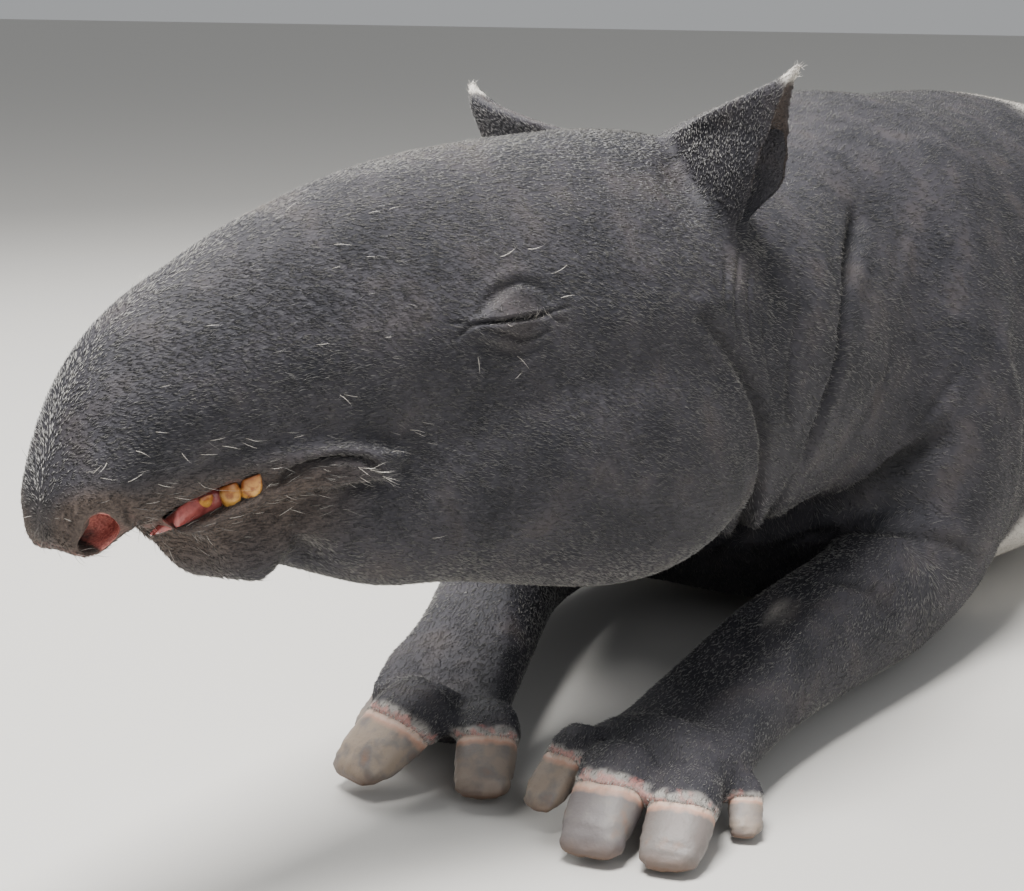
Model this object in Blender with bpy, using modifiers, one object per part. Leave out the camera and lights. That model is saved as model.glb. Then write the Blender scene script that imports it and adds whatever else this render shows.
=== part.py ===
"""Malayan tapir, life size, lying on its chest with the fore legs stretched forward and the head held up.

The animal faces -X, its left side is -Y, and +Z is up. The flesh is modelled whole, from lofted masses
that are fused and smoothed, and is then parted into head, neck, torso, tail and limbs by thin cuts.
"""

from math import cos, pi, radians, sin

import bmesh
import bpy
import numpy as np
from mathutils import Matrix, Vector

# Gap between touching parts, and how fine the fused flesh is
GAP = 0.0003
FINE = 0.007
FLESH_TRIANGLES = 6000

# Build of the animal, in metres
WITHERS_HEIGHT = 0.512
RUMP_HEIGHT = 0.466
BELLY_HALF_WIDTH = 0.305
FLOOR_SINK = 0.014
HIND_FOOT_OUT = 0.335

# Place and turn of the head: the midpoint between the eyes, and how it turns, dips and leans
HEAD_AT = Vector((-0.556, 0.0, 0.408))
HEAD_TURN = radians(-22.5)
HEAD_LEAN = radians(-4.6)
HEAD = Matrix.Rotation(HEAD_TURN, 4, "Z") @ Matrix.Rotation(HEAD_LEAN, 4, "X")
HEAD.translation = HEAD_AT

SKIN = ("black_skin", "3B3B40", 0.75)
SADDLE = ("white_saddle", "C9C6BF", 0.75)
HORN = ("hoof_horn", "A89C8C", 0.45)
ENAMEL = ("tooth", "C98F3C", 0.35)


def in_head(ahead, left, up):
    """A point of the head, told by how far it lies ahead of, left of and above the eyes' midpoint."""
    return HEAD @ Vector((-ahead, -left, up))


def through(rows, steps):
    """Rows of numbers joined by a Catmull-Rom curve, with `steps` rows to each stretch."""
    rows = np.array(rows, float)
    padded = np.vstack([2 * rows[0] - rows[1], rows, 2 * rows[-1] - rows[-2]])
    found = []
    for i in range(len(rows) - 1):
        a, b, c, d = padded[i : i + 4]
        for t in np.arange(steps) / steps:
            bend = 2 * a - 5 * b + 4 * c - d
            twist = 3 * b - a - 3 * c + d
            found.append(b + 0.5 * ((c - a) * t + bend * t**2 + twist * t**3))
    return np.array(found + [rows[-1]])


def section(centre, side, up, width, rise, drop, power, crown=0.0, sides=28):
    """A closed ring, `width` to each side, `rise` above and `drop` below, and narrower on top by `crown`."""
    ring = []
    for i in range(sides):
        turn = 2 * pi * i / sides
        across = np.sign(cos(turn)) * abs(cos(turn)) ** (2 / power)
        lift = np.sign(sin(turn)) * abs(sin(turn)) ** (2 / power)
        across *= 1 - crown * max(lift, 0)
        ring.append(centre + side * (width * across) + up * ((rise if lift > 0 else drop) * lift))
    return ring


def made_of(name, mesh, home):
    """A new object in the collection `home` from a bmesh."""
    data = bpy.data.meshes.new(name)
    mesh.to_mesh(data)
    mesh.free()
    made = bpy.data.objects.new(name, data)
    home.objects.link(made)
    return made


def loft(name, rings, home):
    """A closed solid through the rings, with a fan to the middle of each end."""
    mesh = bmesh.new()
    loops = [[mesh.verts.new(p) for p in ring] for ring in rings]
    count = len(loops[0])
    for near, far in zip(loops, loops[1:]):
        for i in range(count):
            j = (i + 1) % count
            mesh.faces.new((near[i], near[j], far[j], far[i]))
    for ring, loop in ((rings[0], loops[0]), (rings[-1], loops[-1])):
        middle = mesh.verts.new(sum(ring, Vector()) / count)
        for i in range(count):
            mesh.faces.new((loop[i], loop[(i + 1) % count], middle))
    bmesh.ops.recalc_face_normals(mesh, faces=mesh.faces)
    return made_of(name, mesh, home)


def trunk_mass(rows, power=2.5, crown=0.15):
    """Flesh with upright sections along X. Rows are (x, y, top, bottom, half width)."""
    rings = []
    for x, y, top, bottom, width in through(rows, 4):
        middle = (top + bottom) / 2
        half = (top - bottom) / 2
        centre = Vector((x, y, middle))
        rings.append(section(centre, Vector((0, 1, 0)), Vector((0, 0, 1)), width, half, half, power, crown))
    loft("mass", rings, masses)


def head_mass(rows, power=2.3, crown=0.3):
    """Flesh of the head, square to its length. Rows are (ahead, left, top, bottom, half width)."""
    side = HEAD.to_3x3() @ Vector((0, 1, 0))
    up = HEAD.to_3x3() @ Vector((0, 0, 1))
    rings = []
    for ahead, left, top, bottom, width in through(rows, 4):
        half = (top - bottom) / 2
        centre = in_head(ahead, left, top - half)
        rings.append(section(centre, side, up, width, half, half, power, crown))
    loft("mass", rings, masses)


def limb_mass(rows, power=2.0, across=(0, 0, 1), home=None, sides=24, steps=4):
    """Flesh along a bent path. Rows are (x, y, z, half width, half depth), with the depth along `across`."""
    path = through(rows, steps)
    points = [Vector(row[:3]) for row in path]
    rings = []
    for i, row in enumerate(path):
        ahead = (points[min(i + 1, len(points) - 1)] - points[max(i - 1, 0)]).normalized()
        side = ahead.cross(Vector(across)).normalized()
        depth = side.cross(ahead).normalized()
        rings.append(section(points[i], side, depth, row[3], row[4], row[4], power, sides=sides))
    return loft("mass", rings, home or masses)


def spine_y(x):
    """How far the middle of the body lies to the right: the hind part swings a little to the left."""
    return -0.035 - 0.085 * max(x - 0.25, 0) ** 1.4


def torso_flesh():
    rows = [
        (-0.17, 0.450, 0.20, 0.12),
        (-0.09, 0.475, 0.15, 0.175),
        (0.02, WITHERS_HEIGHT - 0.020, 0.03, 0.220),
        (0.14, WITHERS_HEIGHT - 0.008, -FLOOR_SINK, 0.250),
        (0.30, WITHERS_HEIGHT, -FLOOR_SINK, 0.272),
        (0.46, WITHERS_HEIGHT - 0.024, -FLOOR_SINK, BELLY_HALF_WIDTH - 0.015),
        (0.62, RUMP_HEIGHT + 0.004, -FLOOR_SINK, BELLY_HALF_WIDTH),
        (0.77, RUMP_HEIGHT, -FLOOR_SINK, BELLY_HALF_WIDTH - 0.003),
        (0.91, RUMP_HEIGHT + 0.004, -FLOOR_SINK, BELLY_HALF_WIDTH - 0.015),
        (1.03, RUMP_HEIGHT - 0.010, 0.0, 0.255),
        (1.13, RUMP_HEIGHT - 0.055, 0.03, 0.20),
        (1.20, RUMP_HEIGHT - 0.125, 0.09, 0.12),
    ]
    trunk_mass([(x, spine_y(x), top, bottom, width) for x, top, bottom, width in rows])
    for side in (-1, 1):
        rows = [
            (0.33, 0.130, 0.395 - 0.05 * (side > 0), 0.09, 0.045),
            (0.25, 0.150, 0.350 - 0.03 * (side > 0), 0.15, 0.065),
            (0.15, 0.178, 0.280, 0.165, 0.075),
            (0.10, 0.195, 0.190, 0.140, 0.078),
            (0.10, 0.195, 0.110, 0.095, 0.070),
        ]
        limb_mass([(x, spine_y(x) + y * side, z, w, d) for x, y, z, w, d in rows], across=(0, 1, 0))


def neck_flesh():
    limb_mass(
        [
            (0.08, -0.035, 0.270, 0.19, 0.21),
            (-0.05, -0.045, 0.295, 0.185, 0.190),
            (-0.16, -0.060, 0.315, 0.172, 0.168),
            (-0.26, -0.080, 0.335, 0.152, 0.155),
            (-0.34, -0.080, 0.355, 0.132, 0.145),
            (-0.42, -0.055, 0.380, 0.115, 0.125),
        ],
        power=2.2,
    )


def head_flesh():
    head_mass(
        [
            (-0.30, 0, 0.060, -0.100, 0.085),
            (-0.25, 0, 0.105, -0.130, 0.112),
            (-0.18, 0, 0.119, -0.140, 0.122),
            (-0.095, 0, 0.119, -0.140, 0.119),
            (-0.035, 0, 0.116, -0.130, 0.109),
            (0.02, 0, 0.111, -0.125, 0.099),
            (0.075, 0, 0.101, -0.120, 0.087),
            (0.125, 0, 0.087, -0.115, 0.077),
            (0.170, 0, 0.072, -0.110, 0.069),
            (0.215, 0, 0.052, -0.112, 0.063),
            (0.255, 0, 0.031, -0.118, 0.058),
            (0.288, 0, 0.002, -0.125, 0.053),
            (0.309, 0, -0.026, -0.127, 0.047),
            (0.322, 0, -0.054, -0.122, 0.036),
            (0.328, 0, -0.074, -0.106, 0.021),
        ]
    )
    head_mass(
        [
            (-0.280, 0, -0.060, -0.170, 0.060),
            (-0.25, 0, -0.020, -0.208, 0.098),
            (-0.20, 0, 0.020, -0.230, 0.120),
            (-0.14, 0, 0.030, -0.234, 0.127),
            (-0.07, 0, 0.020, -0.220, 0.120),
            (0.00, 0, 0.000, -0.203, 0.102),
            (0.07, 0, -0.040, -0.190, 0.079),
            (0.12, 0, -0.070, -0.173, 0.062),
            (0.16, 0, -0.090, -0.160, 0.053),
            (0.21, 0, -0.100, -0.163, 0.045),
            (0.248, 0, -0.108, -0.149, 0.036),
            (0.266, 0, -0.117, -0.137, 0.022),
        ],
        power=2.4,
        crown=0.1,
    )


def fore_leg_flesh(side, rows):
    limb_mass([(x, y * side, z, w, d) for x, y, z, w, d in rows])


LEFT_FORE_LEG = [
    (0.17, 0.215, 0.100, 0.060, 0.070),
    (0.08, 0.225, 0.090, 0.068, 0.082),
    (-0.04, 0.215, 0.082, 0.060, 0.072),
    (-0.14, 0.197, 0.078, 0.055, 0.064),
    (-0.23, 0.178, 0.074, 0.057, 0.062),
    (-0.32, 0.162, 0.062, 0.056, 0.052),
    (-0.40, 0.150, 0.052, 0.064, 0.048),
    (-0.46, 0.143, 0.042, 0.066, 0.038),
]
RIGHT_FORE_LEG = [
    (0.17, 0.150, 0.100, 0.060, 0.070),
    (0.08, 0.160, 0.090, 0.068, 0.082),
    (-0.04, 0.150, 0.082, 0.060, 0.072),
    (-0.14, 0.130, 0.078, 0.055, 0.064),
    (-0.22, 0.106, 0.074, 0.056, 0.062),
    (-0.30, 0.085, 0.062, 0.055, 0.052),
    (-0.37, 0.072, 0.056, 0.063, 0.047),
    (-0.425, 0.066, 0.044, 0.060, 0.036),
]


def hind_leg_flesh(side):
    rows = [
        (1.05, 0.10, 0.320, 0.12, 0.12),
        (0.93, 0.175, 0.285, 0.165, 0.115),
        (0.80, 0.235, 0.215, 0.150, 0.100),
        (0.68, 0.268, 0.155, 0.105, 0.078),
    ]
    limb_mass([(x, spine_y(x) + y * side, z, w, d) for x, y, z, w, d in rows], across=(0, 1, 0))
    rows = [
        (0.66, 0.275, 0.130, 0.070, 0.080),
        (0.78, 0.290, 0.105, 0.064, 0.078),
        (0.91, 0.298, 0.078, 0.052, 0.060),
        (1.04, 0.300, 0.060, 0.042, 0.052),
    ]
    limb_mass([(x, spine_y(x) + y * side, z, w, d) for x, y, z, w, d in rows])
    rows = [
        (1.08, HIND_FOOT_OUT - 0.035, 0.054, 0.030, 0.050),
        (0.98, HIND_FOOT_OUT - 0.015, 0.038, 0.038, 0.046),
        (0.86, HIND_FOOT_OUT, 0.036, 0.042, 0.042),
        (0.76, HIND_FOOT_OUT + 0.005, 0.034, 0.050, 0.038),
        (0.70, HIND_FOOT_OUT + 0.005, 0.030, 0.055, 0.032),
    ]
    limb_mass([(x, spine_y(x) + y * side, z, w, d) for x, y, z, w, d in rows])


def tail_flesh():
    limb_mass(
        [
            (1.12, -0.120, 0.385, 0.042, 0.036),
            (1.205, -0.128, 0.355, 0.029, 0.025),
            (1.250, -0.132, 0.308, 0.020, 0.018),
            (1.266, -0.134, 0.265, 0.012, 0.011),
        ]
    )


def applied(obj):
    """The object with its modifiers made part of its mesh."""
    graph = bpy.context.evaluated_depsgraph_get()
    obj.data = bpy.data.meshes.new_from_object(obj.evaluated_get(graph))
    obj.modifiers.clear()
    return obj


def fused_flesh():
    """All the masses as one smooth closed surface, cut flat where it rests on the floor."""
    mesh = bmesh.new()
    for obj in list(masses.objects):
        mesh.from_mesh(obj.data)
        bpy.data.objects.remove(obj)
    whole = made_of("flesh", mesh, parts)
    remesh = whole.modifiers.new("fuse", "REMESH")
    remesh.mode = "VOXEL"
    remesh.voxel_size = FINE
    smooth = whole.modifiers.new("smooth", "SMOOTH")
    smooth.factor = 0.5
    smooth.iterations = 14
    applied(whole)
    thin = whole.modifiers.new("thin", "DECIMATE")
    thin.ratio = FLESH_TRIANGLES / (2 * len(whole.data.polygons))
    applied(whole)
    floored(whole)
    return whole


def boolean(target, cutter, operation):
    """The target cut by, kept within or joined to the cutter, as its largest closed surface."""
    modifier = target.modifiers.new("cut", "BOOLEAN")
    modifier.operation = operation
    modifier.object = cutter
    modifier.solver = "EXACT"
    applied(target)
    keep_largest(target)


def keep_largest(obj):
    """Drops every loose surface but the largest."""
    mesh = bmesh.new()
    mesh.from_mesh(obj.data)
    left = set(mesh.faces)
    groups = []
    while left:
        front = [left.pop()]
        group = set(front)
        while front:
            near = {f for edge in front.pop().edges for f in edge.link_faces} & left
            left -= near
            group |= near
            front += near
        groups.append(group)
    largest = max(groups, key=lambda group: sum(f.calc_area() for f in group))
    bmesh.ops.delete(mesh, geom=[f for f in mesh.faces if f not in largest], context="FACES")
    mesh.to_mesh(obj.data)
    mesh.free()


def removed(obj):
    bpy.data.objects.remove(obj)


def region(frame, low, high, grow=0.0):
    """A box in its own frame, from its low to its high corner, for cutting."""
    mesh = bmesh.new()
    bmesh.ops.create_cube(mesh, size=1)
    low = Vector(low) - Vector((grow,) * 3)
    high = Vector(high) + Vector((grow,) * 3)
    mesh.transform(frame @ Matrix.Translation((low + high) / 2) @ Matrix.Diagonal((*(high - low), 1)))
    return made_of("region", mesh, masses)


def part_off(whole, name, finish, frame, low, high):
    """What lies in the box becomes a node of its own, and the rest steps back from it by the gap."""
    piece = whole.copy()
    piece.data = whole.data.copy()
    piece.name = name
    parts.objects.link(piece)
    box = region(frame, low, high)
    boolean(piece, box, "INTERSECT")
    removed(box)
    box = region(frame, low, high, GAP)
    boolean(whole, box, "DIFFERENCE")
    removed(box)
    return finished(piece, finish)


def finished(obj, finish):
    """The object with its material, shaded smooth."""
    name, colour, roughness = finish
    material = bpy.data.materials.get(name)
    if not material:
        material = bpy.data.materials.new(name)
        material.use_nodes = True
        shader = material.node_tree.nodes["Principled BSDF"]
        channels = [int(colour[i : i + 2], 16) / 255 for i in (0, 2, 4)]
        shader.inputs["Base Color"].default_value = (*[c**2.2 for c in channels], 1)
        shader.inputs["Roughness"].default_value = roughness
    obj.data.materials.clear()
    obj.data.materials.append(material)
    obj.data.shade_smooth()
    return obj


def floored(obj):
    """The object with what lies below the floor cut off flat."""
    mesh = bmesh.new()
    mesh.from_mesh(obj.data)
    everything = list(mesh.verts) + list(mesh.edges) + list(mesh.faces)
    bmesh.ops.bisect_plane(mesh, geom=everything, plane_co=(0, 0, 0), plane_no=(0, 0, 1), clear_inner=True)
    bmesh.ops.holes_fill(mesh, edges=[e for e in mesh.edges if e.is_boundary])
    bmesh.ops.triangulate(mesh, faces=mesh.faces)
    bmesh.ops.recalc_face_normals(mesh, faces=mesh.faces)
    mesh.to_mesh(obj.data)
    mesh.free()


def hoof_solid(name, coronet, tip, half_width, grow, home):
    """A hoof from where it grows, at the coronet, to its tip, as a flattened thimble."""
    axis = tip - coronet
    length = axis.length
    axis.normalize()
    side = axis.cross(Vector((0, 0, 1))).normalized()
    up = side.cross(axis).normalized()
    rings = []
    for along, wide, high in HOOF_SHAPE:
        reach = along * length + (grow if along > 0.9 else -grow if along < 0 else 0)
        centre = coronet + axis * reach
        across = half_width * wide + grow
        rise = half_width * high * HOOF_RISE + grow
        drop = half_width * high * HOOF_DROP + grow
        rings.append(section(centre, side, up, across, rise, drop, 2.5, sides=12))
    made = loft(name, rings, home)
    floored(made)
    return made


def toe_flesh(root, coronet, tip, half_width):
    """The flesh of a toe, from inside the foot to just past the back of its hoof."""
    end = coronet + (tip - coronet) * 0.30
    rows = [
        (*root, half_width * 1.0, half_width * 0.95),
        (*((root + coronet) / 2), half_width * 1.02, half_width * 0.92),
        (*coronet, half_width * 0.93, half_width * 0.80),
        (*end, half_width * 0.60, half_width * 0.50),
    ]
    limb_mass(rows, sides=16, steps=2)


# Hoof, from behind the coronet to the tip: share of the length, width and height
HOOF_SHAPE = [
    (-0.10, 0.84, 0.86),
    (0.00, 0.96, 1.00),
    (0.42, 1.04, 0.92),
    (0.78, 0.94, 0.62),
    (1.00, 0.62, 0.28),
]
# Height above and below the middle of a hoof, as shares of its half width
HOOF_RISE = 0.80
HOOF_DROP = 0.62

# Toes: name, root inside the foot, coronet and tip, each as (x, out, z), then half the hoof's width
FORE_LEFT_TOES = [
    ("2", (-0.43, 0.120, 0.050), (-0.474, 0.086, 0.052), (-0.518, 0.074, 0.022), 0.018),
    ("3", (-0.43, 0.137, 0.045), (-0.500, 0.131, 0.044), (-0.560, 0.133, 0.012), 0.027),
    ("4", (-0.43, 0.160, 0.040), (-0.498, 0.187, 0.036), (-0.554, 0.193, 0.010), 0.025),
    ("5", (-0.40, 0.185, 0.034), (-0.440, 0.214, 0.026), (-0.472, 0.226, 0.008), 0.013),
]
FORE_RIGHT_TOES = [
    ("2", (-0.38, 0.040, 0.050), (-0.440, 0.004, 0.040), (-0.492, -0.014, 0.012), 0.024),
    ("3", (-0.39, 0.065, 0.050), (-0.458, 0.066, 0.050), (-0.512, 0.092, 0.017), 0.031),
    ("4", (-0.36, 0.085, 0.045), (-0.388, 0.112, 0.044), (-0.414, 0.136, 0.014), 0.018),
    ("5", (-0.33, 0.095, 0.036), (-0.338, 0.130, 0.030), (-0.350, 0.155, 0.008), 0.013),
]
HIND_TOES = [
    ("2", (0.73, 0.325, 0.036), (0.670, 0.296, 0.034), (0.625, 0.288, 0.010), 0.020),
    ("3", (0.73, 0.340, 0.036), (0.660, 0.341, 0.036), (0.606, 0.342, 0.010), 0.023),
    ("4", (0.73, 0.355, 0.034), (0.670, 0.386, 0.033), (0.627, 0.395, 0.010), 0.020),
]


def placed_toes(side, rows, middle=lambda x: 0.0):
    """The toes' points in the world for a foot on one side of the body."""
    for digit, *points, half_width in rows:
        yield digit, [Vector((x, middle(x) + out * side, z)) for x, out, z in points], half_width


FEET = [
    ("fore_left", -1, FORE_LEFT_TOES, lambda x: 0.0),
    ("fore_right", 1, FORE_RIGHT_TOES, lambda x: 0.0),
    ("hind_left", -1, HIND_TOES, spine_y),
    ("hind_right", 1, HIND_TOES, spine_y),
]


def toes_flesh():
    for _, side, rows, middle in FEET:
        for _, (root, coronet, tip), half_width in placed_toes(side, rows, middle):
            toe_flesh(root, coronet, tip, half_width)


def hooves(whole):
    """A hoof on each toe, with the flesh stepped back from it."""
    for foot, side, rows, middle in FEET:
        for digit, (_, coronet, tip), half_width in placed_toes(side, rows, middle):
            grown = hoof_solid("grown", coronet, tip, half_width, GAP, masses)
            boolean(whole, grown, "DIFFERENCE")
            removed(grown)
            finished(hoof_solid(f"hoof_{foot}_{digit}", coronet, tip, half_width, 0.0, parts), HORN)


def ear_solid(name, side, grow, home):
    """One ear: a leaf curled into a cup that opens outward and back."""
    base = in_head(-0.200, 0.088 * side, 0.076)
    tip = in_head(-0.218, 0.180 * side, 0.156)
    axis = (tip - base).normalized()
    length = (tip - base).length
    mouth = in_head(-0.92, 0.30 * side, -0.20) - HEAD_AT
    mouth = (mouth - axis * mouth.dot(axis)).normalized()
    across = axis.cross(mouth).normalized()
    rings = []
    for share, radius, wall, hollow, spread in EAR_SHAPE:
        centre = base + axis * (share * length - (grow if share < 0 else 0))
        half_turn = radians(spread)
        turns = [half_turn * (2 * i / 10 - 1) for i in range(11)]
        deep = EAR_FLATNESS * radius
        outline = [((deep + grow) * cos(a), (radius + grow) * sin(a)) for a in turns]
        for a in reversed(turns):
            curled = ((deep - wall) * cos(a), (radius - wall) * sin(a))
            filled = (deep * cos(half_turn) - EAR_LIP, (radius - wall) * sin(half_turn) * a / half_turn)
            back, out = [c * hollow + f * (1 - hollow) for c, f in zip(curled, filled)]
            outline.append((back - grow, out))
        rings.append([centre - mouth * back + across * out for back, out in outline])
    return loft(name, rings, home)


# Ear, from base to tip: share of the length, half width, thickness, how hollow, half turn of the leaf
EAR_FLATNESS = 0.62
EAR_LIP = 0.004
EAR_SHAPE = [
    (-0.12, 0.040, 0.010, 0.0, 100),
    (0.10, 0.046, 0.009, 0.1, 106),
    (0.24, 0.048, 0.008, 0.8, 110),
    (0.40, 0.046, 0.007, 1.0, 110),
    (0.58, 0.040, 0.006, 1.0, 102),
    (0.75, 0.030, 0.005, 1.0, 94),
    (0.89, 0.019, 0.004, 1.0, 86),
    (1.00, 0.009, 0.003, 1.0, 80),
]


# Closed lids: half length, depth and height, and how far below their middle they meet
LID_SIZE = (0.038, 0.021, 0.020)
LID_CREASE = -0.005


def lids(whole, side_name, side):
    """The closed eye: an upper and a lower lid that meet at a crease, in a socket of the head."""
    long, deep, high = LID_SIZE
    centre = in_head(0.002, 0.087 * side, -0.006)
    turn = HEAD.to_3x3().to_4x4() @ Matrix.Rotation(radians(12) * side, 4, "Z")
    shape = Matrix.Translation(centre) @ turn
    for name, grow, keep in (("socket", GAP, None), ("upper_lid", 0, 1), ("lower_lid", 0, -1)):
        mesh = bmesh.new()
        bmesh.ops.create_uvsphere(mesh, u_segments=20, v_segments=12, radius=1)
        mesh.transform(shape @ Matrix.Diagonal((long + grow, deep + grow, high + grow, 1)))
        if keep is None:
            socket = made_of(name, mesh, masses)
            boolean(whole, socket, "DIFFERENCE")
            removed(socket)
            continue
        made = made_of(f"{name}_{side_name}", mesh, parts)
        ends = sorted((GAP * keep, 2 * long * keep))
        crease = shape @ Matrix.Translation((0, 0, LID_CREASE))
        half = region(crease, (-2 * long, -2 * long, ends[0]), (2 * long, 2 * long, ends[1]))
        boolean(made, half, "INTERSECT")
        removed(half)
        finished(made, SKIN)


# Gape of the mouth, from under the snout back to the corner: ahead, up and how wide it is open
MOUTH_LINE = [
    (0.296, -0.160, 0.005),
    (0.280, -0.134, 0.005),
    (0.265, -0.119, 0.006),
    (0.238, -0.104, 0.011),
    (0.208, -0.095, 0.010),
    (0.186, -0.090, 0.004),
    (0.150, -0.088, 0.0024),
    (0.108, -0.092, 0.0014),
]
MOUTH_REACH = 0.13


# Lips on the left side, from the front back to the corner: ahead, left, up and thickness
UPPER_LIP = [
    (0.255, 0.034, -0.102, 0.007),
    (0.236, 0.041, -0.087, 0.008),
    (0.205, 0.050, -0.079, 0.008),
    (0.180, 0.055, -0.078, 0.009),
    (0.150, 0.063, -0.079, 0.009),
    (0.105, 0.077, -0.086, 0.006),
    (0.082, 0.076, -0.090, 0.003),
]
LOWER_LIP = [
    (0.252, 0.032, -0.124, 0.007),
    (0.230, 0.040, -0.1165, 0.009),
    (0.190, 0.050, -0.100, 0.008),
    (0.150, 0.060, -0.097, 0.008),
    (0.108, 0.075, -0.099, 0.005),
    (0.088, 0.074, -0.099, 0.003),
]


def lips(whole, side):
    """The raised edges of the mouth on one side."""
    for rows in (UPPER_LIP, LOWER_LIP):
        points = [(*in_head(ahead, left * side, up), thick, thick) for ahead, left, up, thick in rows]
        lip = limb_mass(points, sides=10, steps=2)
        boolean(whole, lip, "UNION")
        removed(lip)


def mouth_cut(whole):
    """Opens the line of the mouth from side to side, so that both lips have their edge."""
    points = [Vector((ahead, 0, up)) for ahead, up, _ in MOUTH_LINE]
    rings = []
    for i, (ahead, up, gape) in enumerate(MOUTH_LINE):
        run = points[min(i + 1, len(points) - 1)] - points[max(i - 1, 0)]
        square = Vector((-run.z, 0, run.x)).normalized() * (gape / 2)
        corners = [(1, -1), (1, 1), (-1, 1), (-1, -1)]
        ring = [in_head(ahead + square.x * a, MOUTH_REACH * b, up + square.z * a) for a, b in corners]
        rings.append(ring)
    cutter = loft("mouth", rings, masses)
    boolean(whole, cutter, "DIFFERENCE")
    removed(cutter)


def nostril_cut(whole, side):
    """The opening of one nostril, facing forward, down and out."""
    rows = [
        (0.326, 0.062, -0.124, 0.0110, 0.0150),
        (0.303, 0.036, -0.106, 0.0100, 0.0135),
        (0.284, 0.020, -0.090, 0.0070, 0.0090),
        (0.272, 0.016, -0.078, 0.0040, 0.0050),
    ]
    points = [(*in_head(ahead, left * side, up), w, d) for ahead, left, up, w, d in rows]
    cutter = limb_mass(points, sides=12, steps=2)
    boolean(whole, cutter, "DIFFERENCE")
    removed(cutter)


def tooth(name, place, grow, home):
    """One rounded tooth crown, with its root left on as the same shape."""
    ahead, left, up, half = place
    mesh = bmesh.new()
    size = (half + grow, TOOTH_DEPTH + grow, TOOTH_HEIGHT + grow)
    turn = HEAD.to_3x3().to_4x4()
    shape = Matrix.Translation(in_head(ahead, left, up)) @ turn @ Matrix.Diagonal((*size, 1))
    bmesh.ops.create_uvsphere(mesh, u_segments=12, v_segments=7, radius=1, matrix=shape)
    return made_of(name, mesh, home)


def teeth(whole):
    """The upper teeth that the open mouth shows, as one row rooted in the gum, on the left side."""
    for name, grow, home in (("grown", GAP, masses), ("upper_teeth", 0, parts)):
        row = tooth(name, TEETH[0], grow, home)
        for place in TEETH[1:]:
            joined = tooth("next", place, grow, masses)
            boolean(row, joined, "UNION")
            removed(joined)
        if grow:
            boolean(whole, row, "DIFFERENCE")
            removed(row)
        else:
            finished(row, ENAMEL)


# Half the depth and height of a tooth, then each tooth's place and half length: ahead, left, up, half length
TOOTH_DEPTH = 0.0055
TOOTH_HEIGHT = 0.0095
TEETH = [
    (0.224, 0.050, -0.0940, 0.0085),
    (0.211, 0.0535, -0.0915, 0.0085),
    (0.198, 0.057, -0.0895, 0.0080),
]


# Where the hind legs part from the trunk: how far out from its middle, and how their line slopes
HIP_INSIDE = 0.14
HIP_SLOPE = 10


def parted(whole):
    """The flesh as its named nodes, by thin cuts."""
    part_off(whole, "head", SKIN, HEAD, (-0.40, -0.30, -0.245), (0.262, 0.30, 0.30))
    neck_frame = Matrix.Translation((-0.09, -0.04, 0.33)) @ Matrix.Rotation(radians(-18), 4, "Y")
    part_off(whole, "neck", SKIN, neck_frame, (-0.40, -0.30, -0.15), (0.0, 0.30, 0.30))
    plain = Matrix.Identity(4)
    part_off(whole, "fore_leg_left", SKIN, plain, (-0.75, -0.45, -0.1), (-0.075, -0.07, 0.20))
    part_off(whole, "fore_leg_right", SKIN, plain, (-0.75, -0.07, -0.1), (-0.075, 0.45, 0.20))
    for name, side in (("left", -1), ("right", 1)):
        hip = Matrix.Translation((0.60, spine_y(0.75), 0)) @ Matrix.Rotation(radians(HIP_SLOPE), 4, "Y")
        ends = sorted((HIP_INSIDE * side, 0.60 * side))
        part_off(whole, f"hind_leg_{name}", SKIN, hip, (0.0, ends[0], -0.4), (0.9, ends[1], 0.42))
    part_off(whole, "tail", SKIN, plain, (1.212, -0.4, 0.2), (1.6, 0.2, 0.5))
    whole.name = "torso"
    finished(whole, SADDLE)


def to_base():
    """Stands the whole part on the middle of its own footprint."""
    low, high = np.full(3, np.inf), np.full(3, -np.inf)
    for obj in parts.objects:
        points = np.array([v.co[:] for v in obj.data.vertices])
        low, high = np.minimum(low, points.min(0)), np.maximum(high, points.max(0))
    shift = Vector((-(low[0] + high[0]) / 2, -(low[1] + high[1]) / 2, 0))
    for obj in parts.objects:
        obj.data.transform(Matrix.Translation(shift))
    return shift


for old in list(bpy.data.objects):
    bpy.data.objects.remove(old)
parts = bpy.data.collections.new("Malayan_tapir")
masses = bpy.data.collections.new("masses")
bpy.context.scene.collection.children.link(parts)
bpy.context.scene.collection.children.link(masses)

torso_flesh()
neck_flesh()
head_flesh()
fore_leg_flesh(-1, LEFT_FORE_LEG)
fore_leg_flesh(1, RIGHT_FORE_LEG)
for side in (-1, 1):
    hind_leg_flesh(side)
tail_flesh()
toes_flesh()
flesh = fused_flesh()
hooves(flesh)
lips(flesh, 1)
lips(flesh, -1)
mouth_cut(flesh)
teeth(flesh)
for name, side in (("left", 1), ("right", -1)):
    nostril_cut(flesh, side)
    lids(flesh, name, side)
    grown_ear = ear_solid("grown", side, 2 * GAP, masses)
    boolean(flesh, grown_ear, "DIFFERENCE")
    removed(grown_ear)
    finished(ear_solid(f"ear_{name}", side, 0.0, parts), SKIN)
parted(flesh)
TO_BASE = to_base()
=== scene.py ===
"""Malayan tapir at rest, life size: hide, coat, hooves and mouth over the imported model."""

from math import cos, radians, sin, tau

import bmesh
import bpy
import numpy as np
from mathutils import Matrix, Vector
from mathutils.bvhtree import BVHTree


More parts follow.
